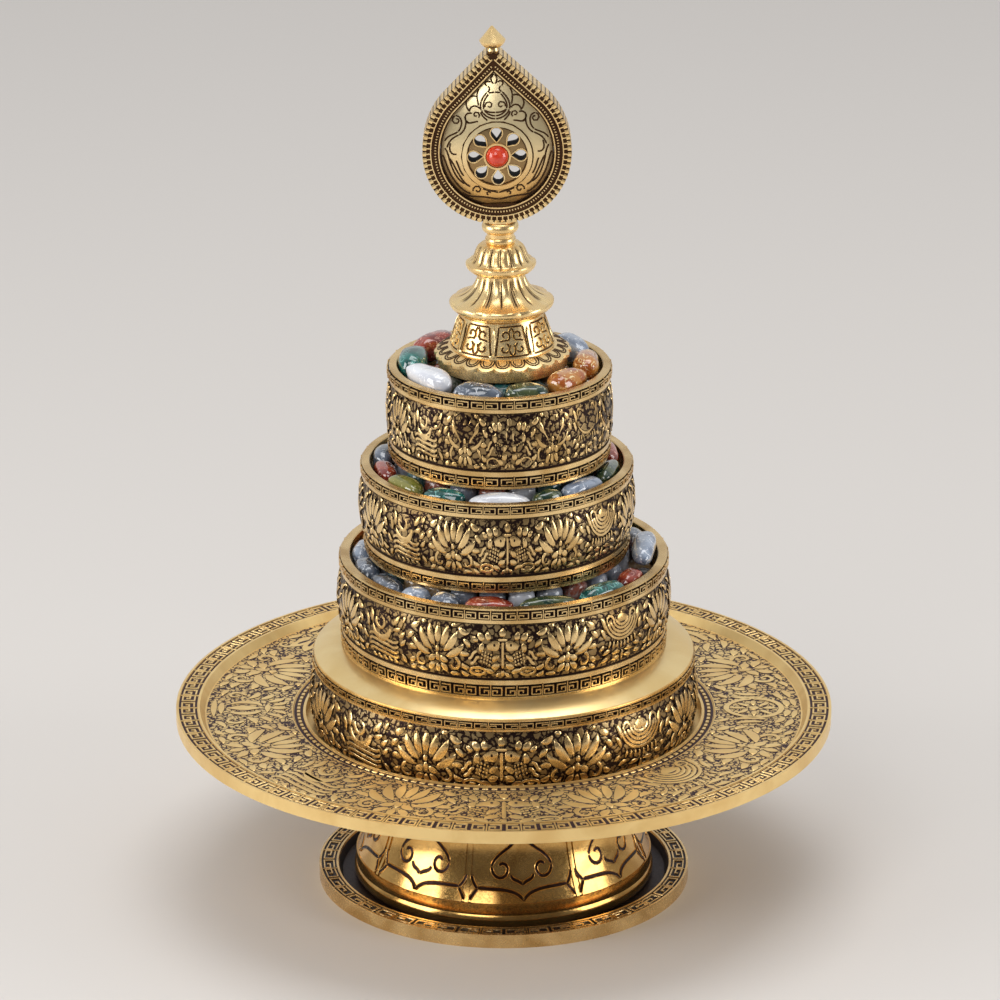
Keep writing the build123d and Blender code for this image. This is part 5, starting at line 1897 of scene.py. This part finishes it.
    def build(self) -> None:
        """Dresses the CAD nodes and lays the chasing on both faces and the blocks on the edge."""
        plain, chased = GILT.material(), CHASED_GILT.material()
        bronzed = replace(GILT, name="frame_brass", bright=(0.085, 0.038, 0.014), warm=(0.05, 0.02, 0.008))
        dress("leaf_frame", bronzed.material())
        dress("leaf_field", self.field_material())
        for node in ("bezel_front", "bezel_back"):
            dress(node, plain)
        coral = Coral().material()
        for node in ("coral_front", "coral_back"):
            dress(node, coral)
        border = motif("leaf_border", self.border_strokes())
        field = motif("leaf_chasing", [*self.chasing(), *self.wheel_strokes()])
        for name, side in (("front", 1), ("back", -1)):
            relief = Relief(f"leaf_pattern_{name}")
            relief.stamp(border, self.face(side, self.frame_half), self.frame_rise)
            relief.stamp(field, self.face(side, self.field_half), self.field_rise)
            relief.finish("ornament", "gilt_brass", chased)
        edge = Relief("leaf_edge_blocks")
        across = ((0, -self.frame_half), (0, self.frame_half))
        block = motif("edge_block", [Key(across, self.block_width)])
        for spot, run in self.spots(self.block_length, self.block_pitch):
            spot = spot + Vector((run.y, -run.x)) * self.block_length
            if spot.y < self.edge_foot:
                continue
            for side in (1, -1):
                edge.stamp(block, self.edge(spot, run, side), self.edge_rise)
        edge.finish("ornament", "gilt_brass", chased)


@dataclass
class Studio:
    """Floor, lamps, world and camera."""

    camera_distance: float = 2.0485
    elevation: float = 20.44
    look_at: tuple[float, float, float] = (-0.00125, 0.0, 0.1336)
    lens: float = 223.9
    clip_end: float = 50.0
    floor_size: float = 14.0
    floor_colour: Colour = (0.62, 0.59, 0.56)
    sky_axis: Colour = (0.0, 1.0, 0.75)         # towards the sky's pale side
    sky: tuple = ((0.0, (0.20, 0.20, 0.22)), (0.6, (1.0, 1.0, 1.0)))
    backdrop: Colour = (1.2, 1.2, 1.22)         # the sky as the camera sees it
    sky_strength: float = 0.62
    lamps: tuple = (            # name, place in metres, length of its side and watts
        ("left_lamp", (-1.5, -0.55, 0.55), 0.9, 15.0),
        ("right_lamp", (1.5, -0.45, 0.50), 0.8, 11.0),
        ("front_lamp", (-0.7, -1.7, 1.7), 1.1, 15.0),
        ("top_lamp", (0.1, 0.2, 2.1), 1.3, 18.0),
    )

    def floor(self) -> None:
        """Lays the plain pale floor."""
        bm = bmesh.new()
        bmesh.ops.create_grid(bm, x_segments=8, y_segments=8, size=self.floor_size / 2)
        mesh = mesh_from(bm, "floor")
        finish_inputs = {"Base Color": (*self.floor_colour, 1.0), "Roughness": 0.75}
        mesh.materials.append(Shader("floor").close(finish_inputs))
        add_object("floor", mesh)

    def light(self) -> None:
        """Hangs the soft boxes, each facing the object."""
        for name, place, size, power in self.lamps:
            light = bpy.data.lights.new(name, "AREA")
            light.shape = "SQUARE"
            light.size = size
            light.energy = power
            lamp = add_object(name, light)
            lamp.location = place
            aim = Vector(self.look_at) - Vector(place)
            lamp.rotation_euler = aim.to_track_quat("-Z", "Y").to_euler()

    def world(self) -> None:
        """Sets a sky that is pale overhead and behind the object and dark in front of it."""
        shader = Shader("studio", "worlds")
        towards = {0: shader.node("ShaderNodeTexCoord"), 1: self.sky_axis}
        level = shader.node("ShaderNodeVectorMath", {"operation": "DOT_PRODUCT"}, towards, out=1)
        sky = shader.node("ShaderNodeValToRGB", {"stops": self.sky}, {0: level})
        colour = shader.blend(shader.node("ShaderNodeLightPath"), sky, self.backdrop)
        values = {"Color": colour, "Strength": self.sky_strength}
        background = shader.node("ShaderNodeBackground", {}, values)
        shader.node("ShaderNodeOutputWorld", {}, {"Surface": background})
        bpy.context.scene.world = shader.owner

    def camera(self) -> None:
        """Places the camera at the photograph's angle."""
        data = bpy.data.cameras.new("camera")
        data.lens = self.lens
        data.clip_end = self.clip_end
        camera = add_object("camera", data)
        rise = math.radians(self.elevation)
        away = Vector((0, -math.cos(rise), math.sin(rise))) * self.camera_distance
        camera.location = Vector(self.look_at) + away
        camera.rotation_euler = (-away).to_track_quat("-Z", "Y").to_euler()
        bpy.context.scene.camera = camera

    def build(self) -> None:
        """Sets up the whole studio."""
        self.floor()
        self.world()
        self.light()
        self.camera()
        bpy.context.scene.view_settings.view_transform = "Standard"


def main() -> None:
    """Builds the studio and every sub-assembly."""
    logging.basicConfig(level=logging.INFO, format="%(message)s")
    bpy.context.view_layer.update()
    Studio().build()
    BaseDrum().build()
    for ring in RINGS:
        ring.build()
    for seed, ring in enumerate(RINGS):
        StoneFilling(ring.name, seed).build()
    FootAndWaist().build()
    OfferingPlate().build()
    OrnamentFoot().build()
    JewelLeaf().build()


if __name__ == "__main__":
    main()
